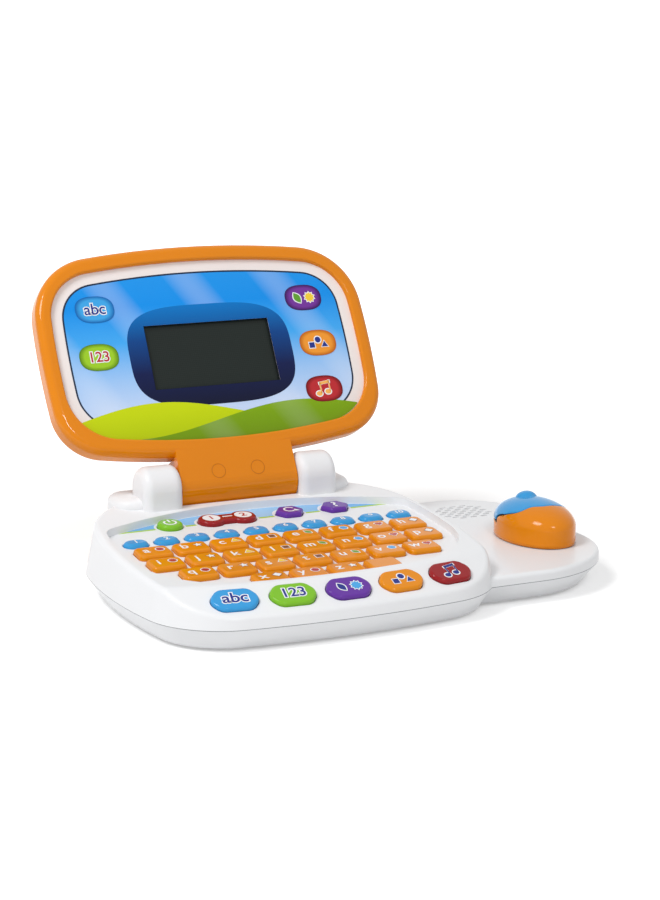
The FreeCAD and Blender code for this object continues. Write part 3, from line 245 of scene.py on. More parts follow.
# %% White plastic with its parting line and crescent print
WHITE, SEAM_GREY, LIME = "EDEEF0", "8E9094", "A9CE2E"
PARTING, HALF_SEAM = 14.0, 0.22
CRESCENT_MIDDLE, CRESCENT_RADIUS, CRESCENT_FRONT, CRESCENT_EDGE = -167.0, 222.6, 37.2, 2.2
CRESCENT_LEFT, CRESCENT_RIGHT = -95.0, 90.0
PRINT_DEPTH = 0.4
FUNCTION_ROW = 39.5
POWER, PLAYER, REPEAT, ASK = -55.0, -18.2, 23.0, 53.5
LOBE = 10.3
BUTTON_MARGINS = ((POWER, 9.6), (PLAYER - LOBE, 10.2), (PLAYER, 7.8), (PLAYER + LOBE, 10.2),
                  (REPEAT, 10.6), (ASK, 10.6))


def deck_axes(tree):
    """Deck millimetres at each point: the object's coordinates times a thousand plus the origin's place."""
    place = add(tree, "TexCoord").outputs["Object"]
    parts = add(tree, "SeparateXYZ", {0: place}).outputs
    return [sums(tree, "MULTIPLY_ADD", part, 1000.0, float(start)) for part, start in zip(parts, ORIGIN)]


def distance_to(tree, x, y, middle_x, middle_y):
    """The plain distance in the deck's plan from a point: the root of two squares."""
    across = sums(tree, "SUBTRACT", x, middle_x)
    along = sums(tree, "SUBTRACT", y, middle_y)
    return sums(tree, "SQRT", sums(tree, "ADD", sums(tree, "POWER", across, 2.0),
                                   sums(tree, "POWER", along, 2.0)))


def case_white(name, with_crescent):
    """White plastic whose pigment is darkened at the parting height and printed on the dish's floor."""
    material = plastic(name, WHITE, 0.34, coat=0.1, drift=0.02, grain=1900.0, bump=0.05)
    tree = material.node_tree
    x, y, z = deck_axes(tree)
    seam = sums(tree, "LESS_THAN", sums(tree, "ABSOLUTE", sums(tree, "SUBTRACT", z, PARTING)), HALF_SEAM)
    colour = add(tree, "MixRGB", {"Fac": seam, "Color1": paint(WHITE), "Color2": paint(SEAM_GREY)})
    if with_crescent:
        floor = sums(tree, "MULTIPLY_ADD", y, math.tan(DECK_TILT), DECK_HEIGHT)
        away = sums(tree, "ABSOLUTE", sums(tree, "SUBTRACT", z, floor))
        on_floor = sums(tree, "LESS_THAN", away, PRINT_DEPTH)
        inside = sums(tree, "LESS_THAN", distance_to(tree, x, y, 0.0, CRESCENT_MIDDLE), CRESCENT_RADIUS)
        mask = sums(tree, "MULTIPLY", on_floor, inside)
        for middle, margin in BUTTON_MARGINS:
            clear = sums(tree, "GREATER_THAN", distance_to(tree, x, y, middle, FUNCTION_ROW), margin)
            mask = sums(tree, "MULTIPLY", mask, clear)
        band = sums(tree, "MULTIPLY", mask, sums(tree, "GREATER_THAN", y, CRESCENT_FRONT))
        edge = sums(tree, "MULTIPLY", band, sums(tree, "LESS_THAN", y, CRESCENT_FRONT + CRESCENT_EDGE))
        share = add(tree, "MapRange", {0: x, 1: CRESCENT_LEFT, 2: CRESCENT_RIGHT})
        sky = blend(tree, share.outputs[0], ("4FA3E4", "A5D0F3", "5DAAE6"))
        colour = add(tree, "MixRGB", {"Fac": band, "Color1": colour.outputs[0], "Color2": sky})
        colour = add(tree, "MixRGB", {"Fac": edge, "Color1": colour.outputs[0], "Color2": paint(LIME)})
    return dye(material, colour.outputs[0])


wear("upper_case", case_white("upper_case_plastic", True))
case_plain = case_white("lower_case_plastic", False)
wear("lower_case", case_plain)
wear("battery_door", case_plain)
for name in ("lid_frame", "lid_back", "mouse_shell"):
    wear(name, orange_shell)
wear("mouse_button", blue_key)
print("the parting line lies", PARTING, "mm above the table")

# %% [markdown]
# ## Keys
# Number keys are blue, letter keys orange, and each button of the function and mode rows has a colour of
# its own. The names of the solids tell which is which.

# %% Colour the keys
MODES = ("blue", "green", "purple", "orange", "red")
KEY_PLASTICS = dict(zip(MODES, (blue_key, green_key, purple_key, orange_key, red_key)))
for name in nodes:
    if name.startswith("number_key_"):
        wear(name, blue_key)
    elif name.startswith("letter_key_") or name == "blank_key":
        wear(name, orange_key)
    elif name.startswith("mode_button_"):
        wear(name, KEY_PLASTICS[name.removeprefix("mode_button_")])
wear("power_button", green_key)
wear("player_button", red_key)
wear("hex_button_left", purple_key)
wear("hex_button_right", purple_key)
print(sum("key" in name for name in nodes), "keys and", sum("button" in name for name in nodes), "buttons")

# %% [markdown]
# ## What lies inside and beneath
# The loudspeaker's paper cone shows through the grille, the rubber feet under the case, and the board,
# the cells and the mouse's slider only when the toy is opened. They are finished all the same.

# %% Inner parts
CONE_MIDDLE, CONE_PITCH = (158.0, 65.0), 3.2
COPPER_START = 14.0


def ringed_paper(name, pigment, middle, pitch):
    """Dark paper with rings pressed into it: a sine of the distance from the cone's axis."""
    material = plastic(name, pigment, 0.75, drift=0.2, grain=900.0, bump=0.2)
    tree = material.node_tree
    x, y, _ = deck_axes(tree)
    ring = sums(tree, "SINE", sums(tree, "MULTIPLY", distance_to(tree, x, y, *middle), 2 * math.pi / pitch))
    relief = next(node for node in tree.nodes if node.type == "BUMP")
    rings = add(tree, "Bump", {"Height": ring, "Strength": 0.3, "Distance": 0.0004,
                               "Normal": relief.outputs["Normal"]})
    tree.links.new(rings.outputs["Normal"], tree.nodes["Principled BSDF"].inputs["Normal"])
    return material


def board_green():
    """Solder-mask green with paler copper tracks: the cell edges of a coarse square pattern."""
    material = plastic("board_lacquer", "1F5B32", 0.35, drift=0.2)
    tree = material.node_tree
    place = add(tree, "TexCoord").outputs["Object"]
    tracks = add(tree, "TexBrick", {"Vector": place, "Scale": 70.0, "Mortar Size": 0.06,
                                    "Color1": paint("1F5B32"), "Color2": paint("246A3A"),
                                    "Mortar": paint("4E8F4A")})
    return dye(material, tracks.outputs["Color"])


def cell_sleeve():
    """A dry cell's sleeve: dark for most of its length, copper-coloured at one end, by place along X."""
    material = plastic("cell_sleeve", "2B2F36", 0.3, coat=0.3)
    tree = material.node_tree
    x, _, _ = deck_axes(tree)
    end = sums(tree, "GREATER_THAN", x, COPPER_START)
    colour = add(tree, "MixRGB", {"Fac": end, "Color1": paint("2B2F36"), "Color2": paint("B9793E")})
    return dye(material, colour.outputs[0])


wear("speaker", ringed_paper("speaker_paper", "2A2A2C", CONE_MIDDLE, CONE_PITCH))
wear("rubber_feet", plastic("foot_rubber", "2C2C2E", 0.8, drift=0.15, grain=1500.0, bump=0.3))
wear("circuit_board", board_green())
wear("batteries", cell_sleeve())
wear("mouse_slider", plastic("slider_plastic", "8D9094", 0.55))
print("five inner finishes")

# %% [markdown]
# ## Inks
# Legends and signs are printed on such toys. A print could be part of a key's material, but a thin flat
# layer of its own just above the plastic keeps its edges sharp and moves with the key. The ink's own
# unevenness is a little stronger than the plastic's.

# %% Printing inks
INKS = {name: plastic("ink_" + name, code, 0.3, coat=0.1, drift=0.08)
        for name, code in (("white", "F4F5F7"), ("navy", "1F2F86"), ("red", "B4262B"), ("brown", "7A4526"),
                           ("green", "5E9E2C"), ("yellow", "F2CE3B"), ("sky", "4AA5E3"),
                           ("pale_orange", "F7B65A"), ("shadow", "9C5606"))}
print(len(INKS), "inks")

# %% [markdown]
# ## Flat shapes
# A pictogram is a few closed outlines. Each outline is a ring of points from a short formula, filled as
# one face. Lettering comes from Blender's own typeface, turned into a mesh before it is put in place.

# %% Outlines
def turn_points(count):
    """Angles evenly round a full turn."""
    return np.linspace(0, 2 * math.pi, count, endpoint=False)


def disc(radius, x=0.0, y=0.0, squash=1.0):
    """A circle, or an ellipse when squashed: cosine across and sine up."""
    angle = turn_points(40)
    return np.stack((x + radius * np.cos(angle), y + radius * squash * np.sin(angle)), -1)


def star(outer, inner, points=5):
    """A star: the radius steps between two values at evenly spaced angles, from the top."""
    angle = turn_points(points * 2) + math.pi / 2
    radius = np.where(np.arange(points * 2) % 2 == 0, outer, inner)
    return np.stack((radius * np.cos(angle), radius * np.sin(angle)), -1)


def polygon(sides, radius, x=0.0, y=0.0, turn=0.0):
    """A regular polygon: points on a circle, evenly spaced from a first angle."""
    angle = turn_points(sides) + turn
    return np.stack((x + radius * np.cos(angle), y + radius * np.sin(angle)), -1)


def leaf(length, width, turn=0.0):
    """A leaf: its half-width is a sine along its length, so both ends are pointed."""
    along = np.linspace(0, 1, 20)
    half = width / 2 * np.sin(math.pi * along)
    right = np.stack((half, (along - 0.5) * length), -1)
    ring = np.concatenate((right, right[-2:0:-1] * (-1, 1)))
    spin = np.array(((math.cos(turn), math.sin(turn)), (-math.sin(turn), math.cos(turn))))
    return ring @ spin


def heart(size):
    """A heart: across is the cube of a sine, up is a sum of cosines of one to four times the angle."""
    angle = -turn_points(48)
    across = 16 * np.sin(angle) ** 3
    up = 13 * np.cos(angle) - 5 * np.cos(2 * angle) - 2 * np.cos(3 * angle) - np.cos(4 * angle)
    return np.stack((across, up), -1) * size / 32


def arc_band(outer, inner, start, end):
    """Part of a ring: out along one radius and back along a smaller one."""
    angle = np.linspace(start, end, 30)
    circle = np.stack((np.cos(angle), np.sin(angle)), -1)
    return np.concatenate((circle * outer, circle[::-1] * inner))


def slab(left, bottom, right, top, lean=0.0):
    """A four-sided bar whose right end is raised by lean."""
    return np.array(((left, bottom), (right, bottom + lean), (right, top + lean), (left, top)))


print("a star has", len(star(2, 1)), "corners")

# %% [markdown]
# An outline becomes a mesh with one face, and words become a mesh by way of a text curve. A print has a
# few such layers. They are joined into one mesh with a material for each ink, so a print stays one piece.

# %% Flat meshes and prints
def filled(name, *outlines):
    """A flat mesh in millimetres with one face for each outline."""
    mesh = bpy.data.meshes.new(name)
    points = np.concatenate(outlines)
    ends = np.cumsum([len(outline) for outline in outlines])
    faces = [range(end - len(outline), end) for end, outline in zip(ends, outlines)]
    mesh.from_pydata(np.pad(points, ((0, 0), (0, 1))).tolist(), [], faces)
    return mesh


def lettering(text, size, bold=0.0):
    """Centred words as a flat mesh in millimetres; bold pushes the outlines of the letters apart."""
    curve = bpy.data.curves.new(text, "FONT")
    curve.body, curve.size, curve.offset = text, size, bold
    curve.align_x, curve.align_y = "CENTER", "CENTER"
    curve.resolution_u = 6
    holder = bpy.data.objects.new("holder", curve)
    scene.collection.objects.link(holder)
    mesh = bpy.data.meshes.new_from_object(holder.evaluated_get(bpy.context.evaluated_depsgraph_get()))
    bpy.data.objects.remove(holder)
    bpy.data.curves.remove(curve)
    return mesh


def printed(name, body, place, layers):
    """A print that rides on a body: each layer is a flat mesh, its ink, its place and its height.

    A layer is moved within the print, then by the print's frame, and all layers become one mesh."""
    inks = list(dict.fromkeys(ink for _, ink, *_ in layers))
    joined = bmesh.new()
    for mesh, ink, x, y, lift in layers:
        mesh.transform(place @ Matrix.Translation((x, y, lift)))
        mesh.polygons.foreach_set("material_index", np.full(len(mesh.polygons), inks.index(ink), np.int32))
        joined.from_mesh(mesh)
        bpy.data.meshes.remove(mesh)
    result = bpy.data.meshes.new(name)
    joined.to_mesh(result)
    joined.free()
    for ink in inks:
        result.materials.append(INKS[ink])
    piece = bpy.data.objects.new(name, result)
    scene.collection.objects.link(piece)
    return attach(piece, body)


sample = lettering("a", 1.0)
print("a letter a has", len(sample.vertices), "points")
bpy.data.meshes.remove(sample)

# %% [markdown]
# ## Legends on the keys
# Each letter key carries its small letter at the left and a bright plain shape at the right, one of eight
# in turn. Number keys carry their digit in the middle. All of them sit on the flat top of the key, so the
# print only needs the key's place and height.

# %% Letters and numbers
INK_GAP = 0.05
LETTER_ROWS = ("abcdefgh", "ijklmnop", "qrstuvw", "xyz ")
LETTER_PITCH, LETTER_ROW_PITCH, LETTER_FIRST_ROW = 23.4, 20.2, -3.9
NUMBER_COUNT, NUMBER_PITCH, NUMBER_ROW = 10, 19.0, 15.3
LETTER_AT, SHAPE_AT, SHAPE_RIM = (-4.4, 0.6), (4.2, 1.2), 1.28
LETTER_SIZE, LETTER_BOLD = 9.6, 0.18
NUMBER_SIZE, NUMBER_BOLD = 6.0, 0.12
LETTER_TOP, NUMBER_TOP, FUNCTION_TOP, MODE_TOP = (height + INK_GAP for height in (3.1, 2.4, 3.0, 2.4))
SHAPES = (("red", disc(2.3)), ("white", star(2.9, 1.3)), ("yellow", polygon(3, 2.9, turn=math.pi / 2)),
          ("brown", polygon(4, 2.8, turn=math.pi / 4)), ("green", leaf(5.6, 3.4, turn=0.6)),
          ("sky", polygon(6, 2.5)), ("red", heart(4.8)), ("white", polygon(4, 2.8)))

for row, letters in enumerate(LETTER_ROWS):
    for column, letter in enumerate(letters):
        if letter == " ":
            continue
        place = deck_frame(LETTER_PITCH * (column - (len(letters) - 1) / 2),
                           LETTER_FIRST_ROW - LETTER_ROW_PITCH * row)
        ink, outline = SHAPES["".join(LETTER_ROWS).index(letter) % len(SHAPES)]
        rim = filled("rim", outline * SHAPE_RIM)
        printed(f"letter_print_{letter}", f"letter_key_{letter}", place, [
            (lettering(letter, LETTER_SIZE, LETTER_BOLD), "white", *LETTER_AT, LETTER_TOP),
            (rim, "shadow" if ink == "white" else "white", *SHAPE_AT, LETTER_TOP),
            (filled("shape", outline), ink, *SHAPE_AT, LETTER_TOP + INK_GAP)])

for index in range(NUMBER_COUNT):
    place = deck_frame(NUMBER_PITCH * (index - (NUMBER_COUNT - 1) / 2), NUMBER_ROW)
    printed(f"number_print_{index + 1}", f"number_key_{index + 1}", place,
            [(lettering(str(index + 1), NUMBER_SIZE, NUMBER_BOLD), "white", 0, 0, NUMBER_TOP)])

# %% [markdown]
# ## Function and mode buttons
# The function row switches the toy on, picks one or two players, repeats and asks. The five mode buttons
# carry large signs in navy or sky blue on a white ground: letters, numbers, a leaf and a sun, plain shapes,
# and a pair of notes. The white ground is the sign itself, drawn a little larger underneath.

# %% Signs
def two_notes():
    """A pair of joined notes: two ovals, two stems and a leaning beam."""
    heads = [disc(2.0, x, y, 0.78) for x, y in ((-3.2, -3.2), (3.0, -2.2))]
    stems = [slab(x - 0.9, y, x, y + 7.0) for x, y in ((-1.2, -3.0), (5.0, -2.0))]
    return heads + stems + [slab(-2.1, 2.6, 5.0, 4.4, 1.0)]


def grown(outline, margin):
    """An outline pushed out from its own middle by a margin along each point's ray."""
    middle = outline.mean(0)
    ray = outline - middle
    return middle + ray * (1 + margin / np.linalg.norm(ray, axis=1, keepdims=True))


def sign(outlines, ink, x=0.0, lift=MODE_TOP, margin=0.7):
    """A sign on a white ground: the outlines grown in white, and themselves in ink just above."""
    return [(filled("ground", *(grown(ring, margin) for ring in outlines)), "white", x, 0, lift),
            (filled("sign", *outlines), ink, x, 0, lift + INK_GAP)]


def word_sign(text, size, ink, lift=MODE_TOP, ground=0.8, bold=0.16):
    """Words on a white ground: the same words in bolder white beneath."""
    return [(lettering(text, size, ground), "white", 0, 0, lift),
            (lettering(text, size, bold), ink, 0, 0, lift + INK_GAP)]


sun = [star(3.6, 2.5, points=10)]
sprig = [leaf(7.2, 4.0, turn=0.5)]
blocks = [polygon(4, 2.6, -4.4, -1.4, math.pi / 4), disc(2.0, 0.2, 2.0),
          polygon(3, 2.6, 4.4, -1.6, math.pi / 2)]
mode_signs = {
    "blue": word_sign("abc", 11.0, "navy"),
    "green": word_sign("123", 10.0, "navy"),
    "purple": sign(sprig, "navy", -4.6) + sign(sun, "sky", 4.4),
    "orange": sign(blocks, "navy"),
    "red": sign(two_notes(), "navy", -0.8),
}
for step, colour in enumerate(MODES):
    printed(f"mode_print_{colour}", f"mode_button_{colour}", slope_frame(step - 2), mode_signs[colour])
print("signs on", len(mode_signs), "mode buttons")

# %% [markdown]
# The function buttons have white signs: a ring with a bar for power, two joined discs with the players'
# numbers in red, a bent arrow, and a question mark.

# %% Function signs
PLAYER_SIZE, PLAYER_BOLD = 8.0, 0.15
printed("power_print", "power_button", deck_frame(POWER, FUNCTION_ROW), [
    (filled("ring", arc_band(4.2, 3.0, math.radians(125), math.radians(415))), "white", 0, 0, FUNCTION_TOP),
    (filled("bar", slab(-0.65, 0.6, 0.65, 5.0)), "white", 0, 0, FUNCTION_TOP)])
grounds = [disc(5.4, -LOBE), disc(5.4, LOBE), slab(-3.2, -0.7, 3.2, 0.7)]
printed("player_print", "player_button", deck_frame(PLAYER, FUNCTION_ROW), [
    (filled("grounds", *grounds), "white", 0, 0, FUNCTION_TOP),
    (lettering("1", PLAYER_SIZE, PLAYER_BOLD), "red", -LOBE, 0, FUNCTION_TOP + INK_GAP),
    (lettering("2", PLAYER_SIZE, PLAYER_BOLD), "red", LOBE, 0, FUNCTION_TOP + INK_GAP)])
arrow = [arc_band(4.0, 2.8, math.radians(30), math.radians(320)),
         polygon(3, 2.3, 3.4, -2.2, math.radians(95))]
printed("repeat_print", "hex_button_left", deck_frame(REPEAT, FUNCTION_ROW),
        [(filled("arrow", *arrow), "white", 0, 0, FUNCTION_TOP)])
printed("ask_print", "hex_button_right", deck_frame(ASK, FUNCTION_ROW),
        [(lettering("?", 11.0, 0.2), "white", 0, 0, FUNCTION_TOP)])
print("signs on four function buttons")

# %% [markdown]
# ## The screen surround
# Behind the orange frame lies a printed panel: a pale border, tinted pink by a painted reflection of the
# orange frame, a sky that fades from azure to pale blue, two rolling hills in lime and green, and a dark blue
# surround for the display. Each is a flat layer just above the panel. Most layers are a grid between two
# closed curves.
# Both curves are given as a distance from the middle of the display for each angle, so a point between them
# is a plain mix of the two distances.

# %% Curves round the display
SCREEN_UP = 81.8
WINDOW_HALF_WIDTH, WINDOW_HALF_HEIGHT = 41.75, 21.0
OPENING = {"half_width": 100.6, "bottom": 26.1, "top": 144.1, "widest": 86.0,
           "bows": (509.4, 510.6, 589.6), "corners": (32.0, 31.6)}
corner = math.atan2(WINDOW_HALF_HEIGHT, WINDOW_HALF_WIDTH)
window_corners = np.array((corner, math.pi - corner, math.pi + corner, -corner)) % (2 * math.pi)
angles = np.sort(np.concatenate((turn_points(320), window_corners)))


def bearing(start, end):
    """The angle of the line from one point to another."""
    return math.atan2(end[1] - start[1], end[0] - start[0])


def bowed_loop(half_width, bottom, top, widest, bows, corners, inset=0.0):
    """A rounded outline, anticlockwise from the bottom middle, moved in by an inset.

    Each half is five arcs: bottom bow, corner, side bow, corner, top bow. A corner's middle lies where
    circles about the two neighbouring bows' middles, each less the corner's radius, cross."""
    ends = np.array(((0.0, bottom + bows[0]), (0.0, top - bows[2])))
    side = np.array((half_width - bows[1], widest))
    middles = []
    for end, bow, corner, turn in zip(ends, (bows[0], bows[2]), corners, (-1, 1)):
        axis = end - side
        span = math.hypot(*axis)
        axis = axis / span
        near, far = bows[1] - corner, bow - corner
        along = (near ** 2 - far ** 2 + span ** 2) / (2 * span)
        across = math.sqrt(near ** 2 - along ** 2)
        middles.append(side + axis * along + turn * across * np.array((-axis[1], axis[0])))
    low, high = middles
    turns = (-math.pi / 2, bearing(ends[0], low), bearing(side, low), bearing(side, high),
             bearing(ends[1], high), math.pi / 2)
    arcs = zip((ends[0], low, side, high, ends[1]), (bows[0], corners[0], bows[1], corners[1], bows[2]),
               turns, turns[1:])
    parts = []
    for middle, radius, start, stop in arcs:
        sweep = np.linspace(start, stop, 40)
        parts.append(middle + (radius - inset) * np.stack((np.cos(sweep), np.sin(sweep)), -1))
    right = np.concatenate(parts)
    return np.concatenate((right, right[::-1] * (-1, 1)))


def opening(inset):
    """The opening of the orange frame, moved in by an inset."""
    return bowed_loop(**OPENING, inset=inset)


def reach(loop):
    """A loop as distances from the display's middle at the shared angles, read between its points."""
    x, up = loop[:, 0], loop[:, 1] - SCREEN_UP
    return np.interp(angles, np.arctan2(up, x) % (2 * math.pi), np.hypot(x, up), period=2 * math.pi)


def oval(half_width, half_height, power):
    """A rounded oblong: the powers of both shares of its half sizes add up to one."""
    share = np.abs(np.cos(angles) / half_width) ** power + np.abs(np.sin(angles) / half_height) ** power
    return share ** (-1 / power)


def oblong(half_width, half_height):
    """A sharp oblong: the nearer of its two pairs of sides along each ray."""
    return 1 / np.maximum(np.abs(np.cos(angles)) / half_width, np.abs(np.sin(angles)) / half_height)


print("the opening is", round(float(np.ptp(opening(0)[:, 0])), 1), "mm wide")

# %% [markdown]
# A grid of points becomes a mesh when each cell names its four corners. A ring's last column is joined to its
# first. The lid's frame then takes the mesh from lid millimetres to the shared frame.

# %% Grids on the lid
def grid_faces(rows, columns, closed=False):
    """Four corners of every cell of a grid, row after row; closed joins the last column to the first."""
    index = np.arange(rows * columns).reshape(rows, columns)
    right = np.roll(index, -1, axis=1)
    if not closed:
        index, right = index[:, :-1], right[:, :-1]
    return np.stack((index[:-1], right[:-1], right[1:], index[1:]), -1).reshape(-1, 4)


def lid_piece(name, grid, material, closed=True):
    """A grid of points in lid millimetres as a piece that rides on the lid."""
    mesh = bpy.data.meshes.new(name)
    mesh.from_pydata(grid.reshape(-1, 3).tolist(), [], grid_faces(*grid.shape[:2], closed).tolist())
    mesh.transform(lid_frame)
    mesh.materials.append(material)
    piece = bpy.data.objects.new(name, mesh)
    scene.collection.objects.link(piece)
    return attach(piece, "lid")


def around(x, up, distance, out):
    """Points at a distance from a middle for each shared angle: cosine across, sine up."""
    sides, heights = x + distance * np.cos(angles), up + distance * np.sin(angles)
    return np.stack(np.broadcast_arrays(sides, heights, out), -1)


def ring_layer(outer, inner, lift, rows=6):
    """Points between two curves: rows mix the outer and inner distance, from the outside in."""
    mix = np.linspace(0, 1, rows)[:, None]
    return around(0.0, SCREEN_UP, outer * (1 - mix) + inner * mix, PANEL_FACE + lift)


print("a ring of two rows has", len(grid_faces(2, len(angles), closed=True)), "faces")

# %% [markdown]
# The layers' colours change up the lid, so their materials need the lid's own coordinates. A Mapping node
# of the texture kind undoes a turn and a shift, which takes the object's coordinates back to the lid.

# %% Finishes of the surround
STREAK_LEAN, STREAK_TURN = 0.6, 0.11
CELL_PITCH, CELL_FILL = 1.3, 0.86


def lid_group():
    """Across and up the lid in millimetres, from the object's coordinates turned back about the hinge."""
    group = bpy.data.node_groups.new("lid_place", "ShaderNodeTree")
    for name in ("Across", "Up"):
        group.interface.new_socket(name=name, in_out="OUTPUT", socket_type="NodeSocketFloat")
    result = group.nodes.new("NodeGroupOutput").inputs
    place = add(group, "TexCoord").outputs["Object"]
    placed = {"Location": lid_frame.to_translation(), "Rotation": (LID_TURN, 0, 0), "Scale": (MM, MM, MM)}
    back = add(group, "Mapping", {"Vector": place, **placed}, vector_type="TEXTURE")
    parts = add(group, "SeparateXYZ", {0: back.outputs[0]}).outputs
    group.links.new(parts[0], result["Across"])
    group.links.new(parts[1], result["Up"])
    return group


LID_PLACE = lid_group()


def fading(name, low, high, stops, streak=0.0):
    """A print whose colour runs through stops between two heights, with faint slanting light streaks."""
    material = plastic(name, "FFFFFF", 0.24, coat=0.08, drift=0.05, shine=0.1)
    tree = material.node_tree
    lid = add(tree, "Group", node_tree=LID_PLACE).outputs
    share = add(tree, "MapRange", {0: lid["Up"], 1: low, 2: high})
    slant = sums(tree, "ADD", lid["Across"], sums(tree, "MULTIPLY", lid["Up"], STREAK_LEAN))
    wave = sums(tree, "SINE", sums(tree, "MULTIPLY", slant, STREAK_TURN))
    light = sums(tree, "MULTIPLY", sums(tree, "MAXIMUM", wave, 0.0), streak)
    colour = add(tree, "MixRGB", {"Fac": light, "Color1": blend(tree, share.outputs[0], stops),
                                  "Color2": paint("FFFFFF")})
    return dye(material, colour.outputs[0])


def display_glass():
    """The dark display: faint lines where the share of a cell across or up is past its fill."""
    material = plastic("display_glass", "232927", 0.3, coat=0.05, drift=0.1, shine=0.08)
    tree = material.node_tree
    lid = add(tree, "Group", node_tree=LID_PLACE).outputs
    shares = [sums(tree, "FRACT", sums(tree, "MULTIPLY", lid[axis], 1 / CELL_PITCH))
              for axis in ("Across", "Up")]
    line = sums(tree, "GREATER_THAN", sums(tree, "MAXIMUM", *shares), CELL_FILL)
    colour = add(tree, "MixRGB", {"Fac": line, "Color1": paint("232927"), "Color2": paint("2A312E")})
    return dye(material, colour.outputs[0])


# The pale border's pink tint is a painted reflection of the orange frame. The border is a little lighter
# halfway up.
wear("screen_panel", fading("panel_border_with_painted_reflection", 30, 145, ("E9E2E0", "F1EAE7", "EDE5E3")))
wear("lcd_module", display_glass())
sky = fading("panel_sky", 45, 140, ("C6D9F7", "9DC6F5", "45A9F2", "1590EA", "2497EC"), streak=0.14)
surround = fading("display_surround", 50, 115, ("0D1230", "101C4C", "0C4488", "0A76C4"))
hill = fading("hill_print", 26, 56, ("6F9410", "7BA312", "8DB41A"), streak=0.06)
lime = fading("lime_print", 30, 62, ("B2C808", "C3D60C", "CFDC18"))
# The thin dark navy ring inside the pale border is painted shadow: the shade along the border's inner edge.
painted_shadow_line = plastic("painted_shadow_ring", "26324A", 0.3, shine=0.1)
lining_black = plastic("window_lining_plastic", "15181C", 0.4)
print("eight finishes behind the frame")

# %% [markdown]
# Now the layers themselves. A hill is a grid too: its columns run across the lid, and its rows from the edge
# of the frame up to a rolling crest. The lining is a short sleeve round the window, which hides the cut edge
# of the panel.

# %% Layers of the surround
SKY_LIFT, LINE_LIFT, SURROUND_LIFT, FAR_LIFT, NEAR_LIFT = 0.06, 0.10, 0.14, 0.18, 0.22
SKY_INSET, LINE_OUTER, LINE_INNER, HILL_INSET = 8.0, 7.2, 8.3, 0.3
SKY_LAP, LINING_FIT = 0.98, 0.996
HILL_WAVE, LEAST_RISE = 2.9, 0.05
LINING_ENDS = (PANEL_FACE + 0.15, 3.35)
rim_oval = oval(54.5, 33.2, 3.4)
window = oblong(WINDOW_HALF_WIDTH, WINDOW_HALF_HEIGHT)
line_curves = [reach(opening(inset)) for inset in (LINE_OUTER, LINE_INNER)]
lid_piece("sky_print", ring_layer(reach(opening(SKY_INSET)), rim_oval * SKY_LAP, SKY_LIFT), sky)
# A thin ring of painted shadow just inside the pale border.
lid_piece("painted_shadow_ring", ring_layer(*line_curves, LINE_LIFT, 2), painted_shadow_line)
lid_piece("surround_print", ring_layer(rim_oval, window, SURROUND_LIFT), surround)

columns = np.linspace(-99.5, 99.5, 400)
edge = opening(HILL_INSET)
lower = edge[edge[:, 1] < OPENING["widest"]]
lower = lower[np.argsort(lower[:, 0])]
foot = np.interp(columns, lower[:, 0], lower[:, 1])


def rolling(height, swell, middle):
    """A rolling crest: a height and a cosine of the place across, which is highest at its middle."""
    return height + swell * np.cos(HILL_WAVE * (columns / 100 - middle))


def hill_layer(crest, lift):
    """Points from the frame's edge up to a crest, in the columns where the crest is the higher one."""
    keep = foot < crest - LEAST_RISE
    mix = np.linspace(0, 1, 8)[:, None]
    up = foot[keep] * (1 - mix) + crest[keep] * mix
    return np.stack(np.broadcast_arrays(columns[keep], up, PANEL_FACE + lift), -1)


far_crest = rolling(43.0, 9.5, -0.42)
near_crest = rolling(38.5, 8.5, 0.5)
lid_piece("lime_print", hill_layer(far_crest, FAR_LIFT), lime, closed=False)
lid_piece("hill_print", hill_layer(near_crest, NEAR_LIFT), hill, closed=False)
sleeve = around(0.0, SCREEN_UP, window * LINING_FIT, np.array(LINING_ENDS)[:, None])
lid_piece("window_lining", sleeve, lining_black)
print("the far hill is at most", round(float((far_crest - foot).max()), 1), "mm high")

# %% [markdown]
# ## Picture badges
# Five glossy badges beside the display repeat the colours of the mode buttons. A badge is a grid of rings
# that shrink to its middle. Each point stores how far out it lies, and the finish reads that number to
# darken the rim and lighten the middle, as the printed sheen does. Their signs are plain ones.

# %% Badges
BADGE_HALF_WIDTH, BADGE_HALF_HEIGHT, BADGE_POWER = 12.6, 8.7, 2.5
BADGE_LIFT, BADGE_SIGN_LIFT, BADGE_RIM_START = 0.26, 0.32, 0.72
BADGES = (("blue", -71.0, 115.7, "3FA5E6", "1260AC"), ("green", -74.0, 84.6, "9CCB2A", "527F10"),
          ("purple", 69.5, 114.7, "74379A", "33104E"), ("orange", 73.0, 83.5, "F09A34", "B95C08"),
          ("red", 70.5, 52.6, "BC2E34", "690C10"))


def badge_finish(name, middle, rim):
    """A print that goes from a light middle to a dark rim by the stored share of the radius."""
    material = plastic(name, "FFFFFF", 0.24, coat=0.1, shine=0.1)
    tree = material.node_tree
    share = add(tree, "Attribute", attribute_name="rim").outputs["Fac"]
    return dye(material, blend(tree, share, (middle, middle, rim), (0.0, BADGE_RIM_START, 1.0)))


def badge(name, x, up, finish):
    """A badge: rings of one rounded oval, scaled from one down to a tiny middle."""
    share = np.linspace(1, 0.001, 12)
    outline = oval(BADGE_HALF_WIDTH, BADGE_HALF_HEIGHT, BADGE_POWER)
    piece = lid_piece(name, around(x, up, share[:, None] * outline, PANEL_FACE + BADGE_LIFT), finish)
    store = piece.data.attributes.new("rim", "FLOAT", "POINT")
    store.data.foreach_set("value", np.repeat(share, len(angles)).astype(np.float32))


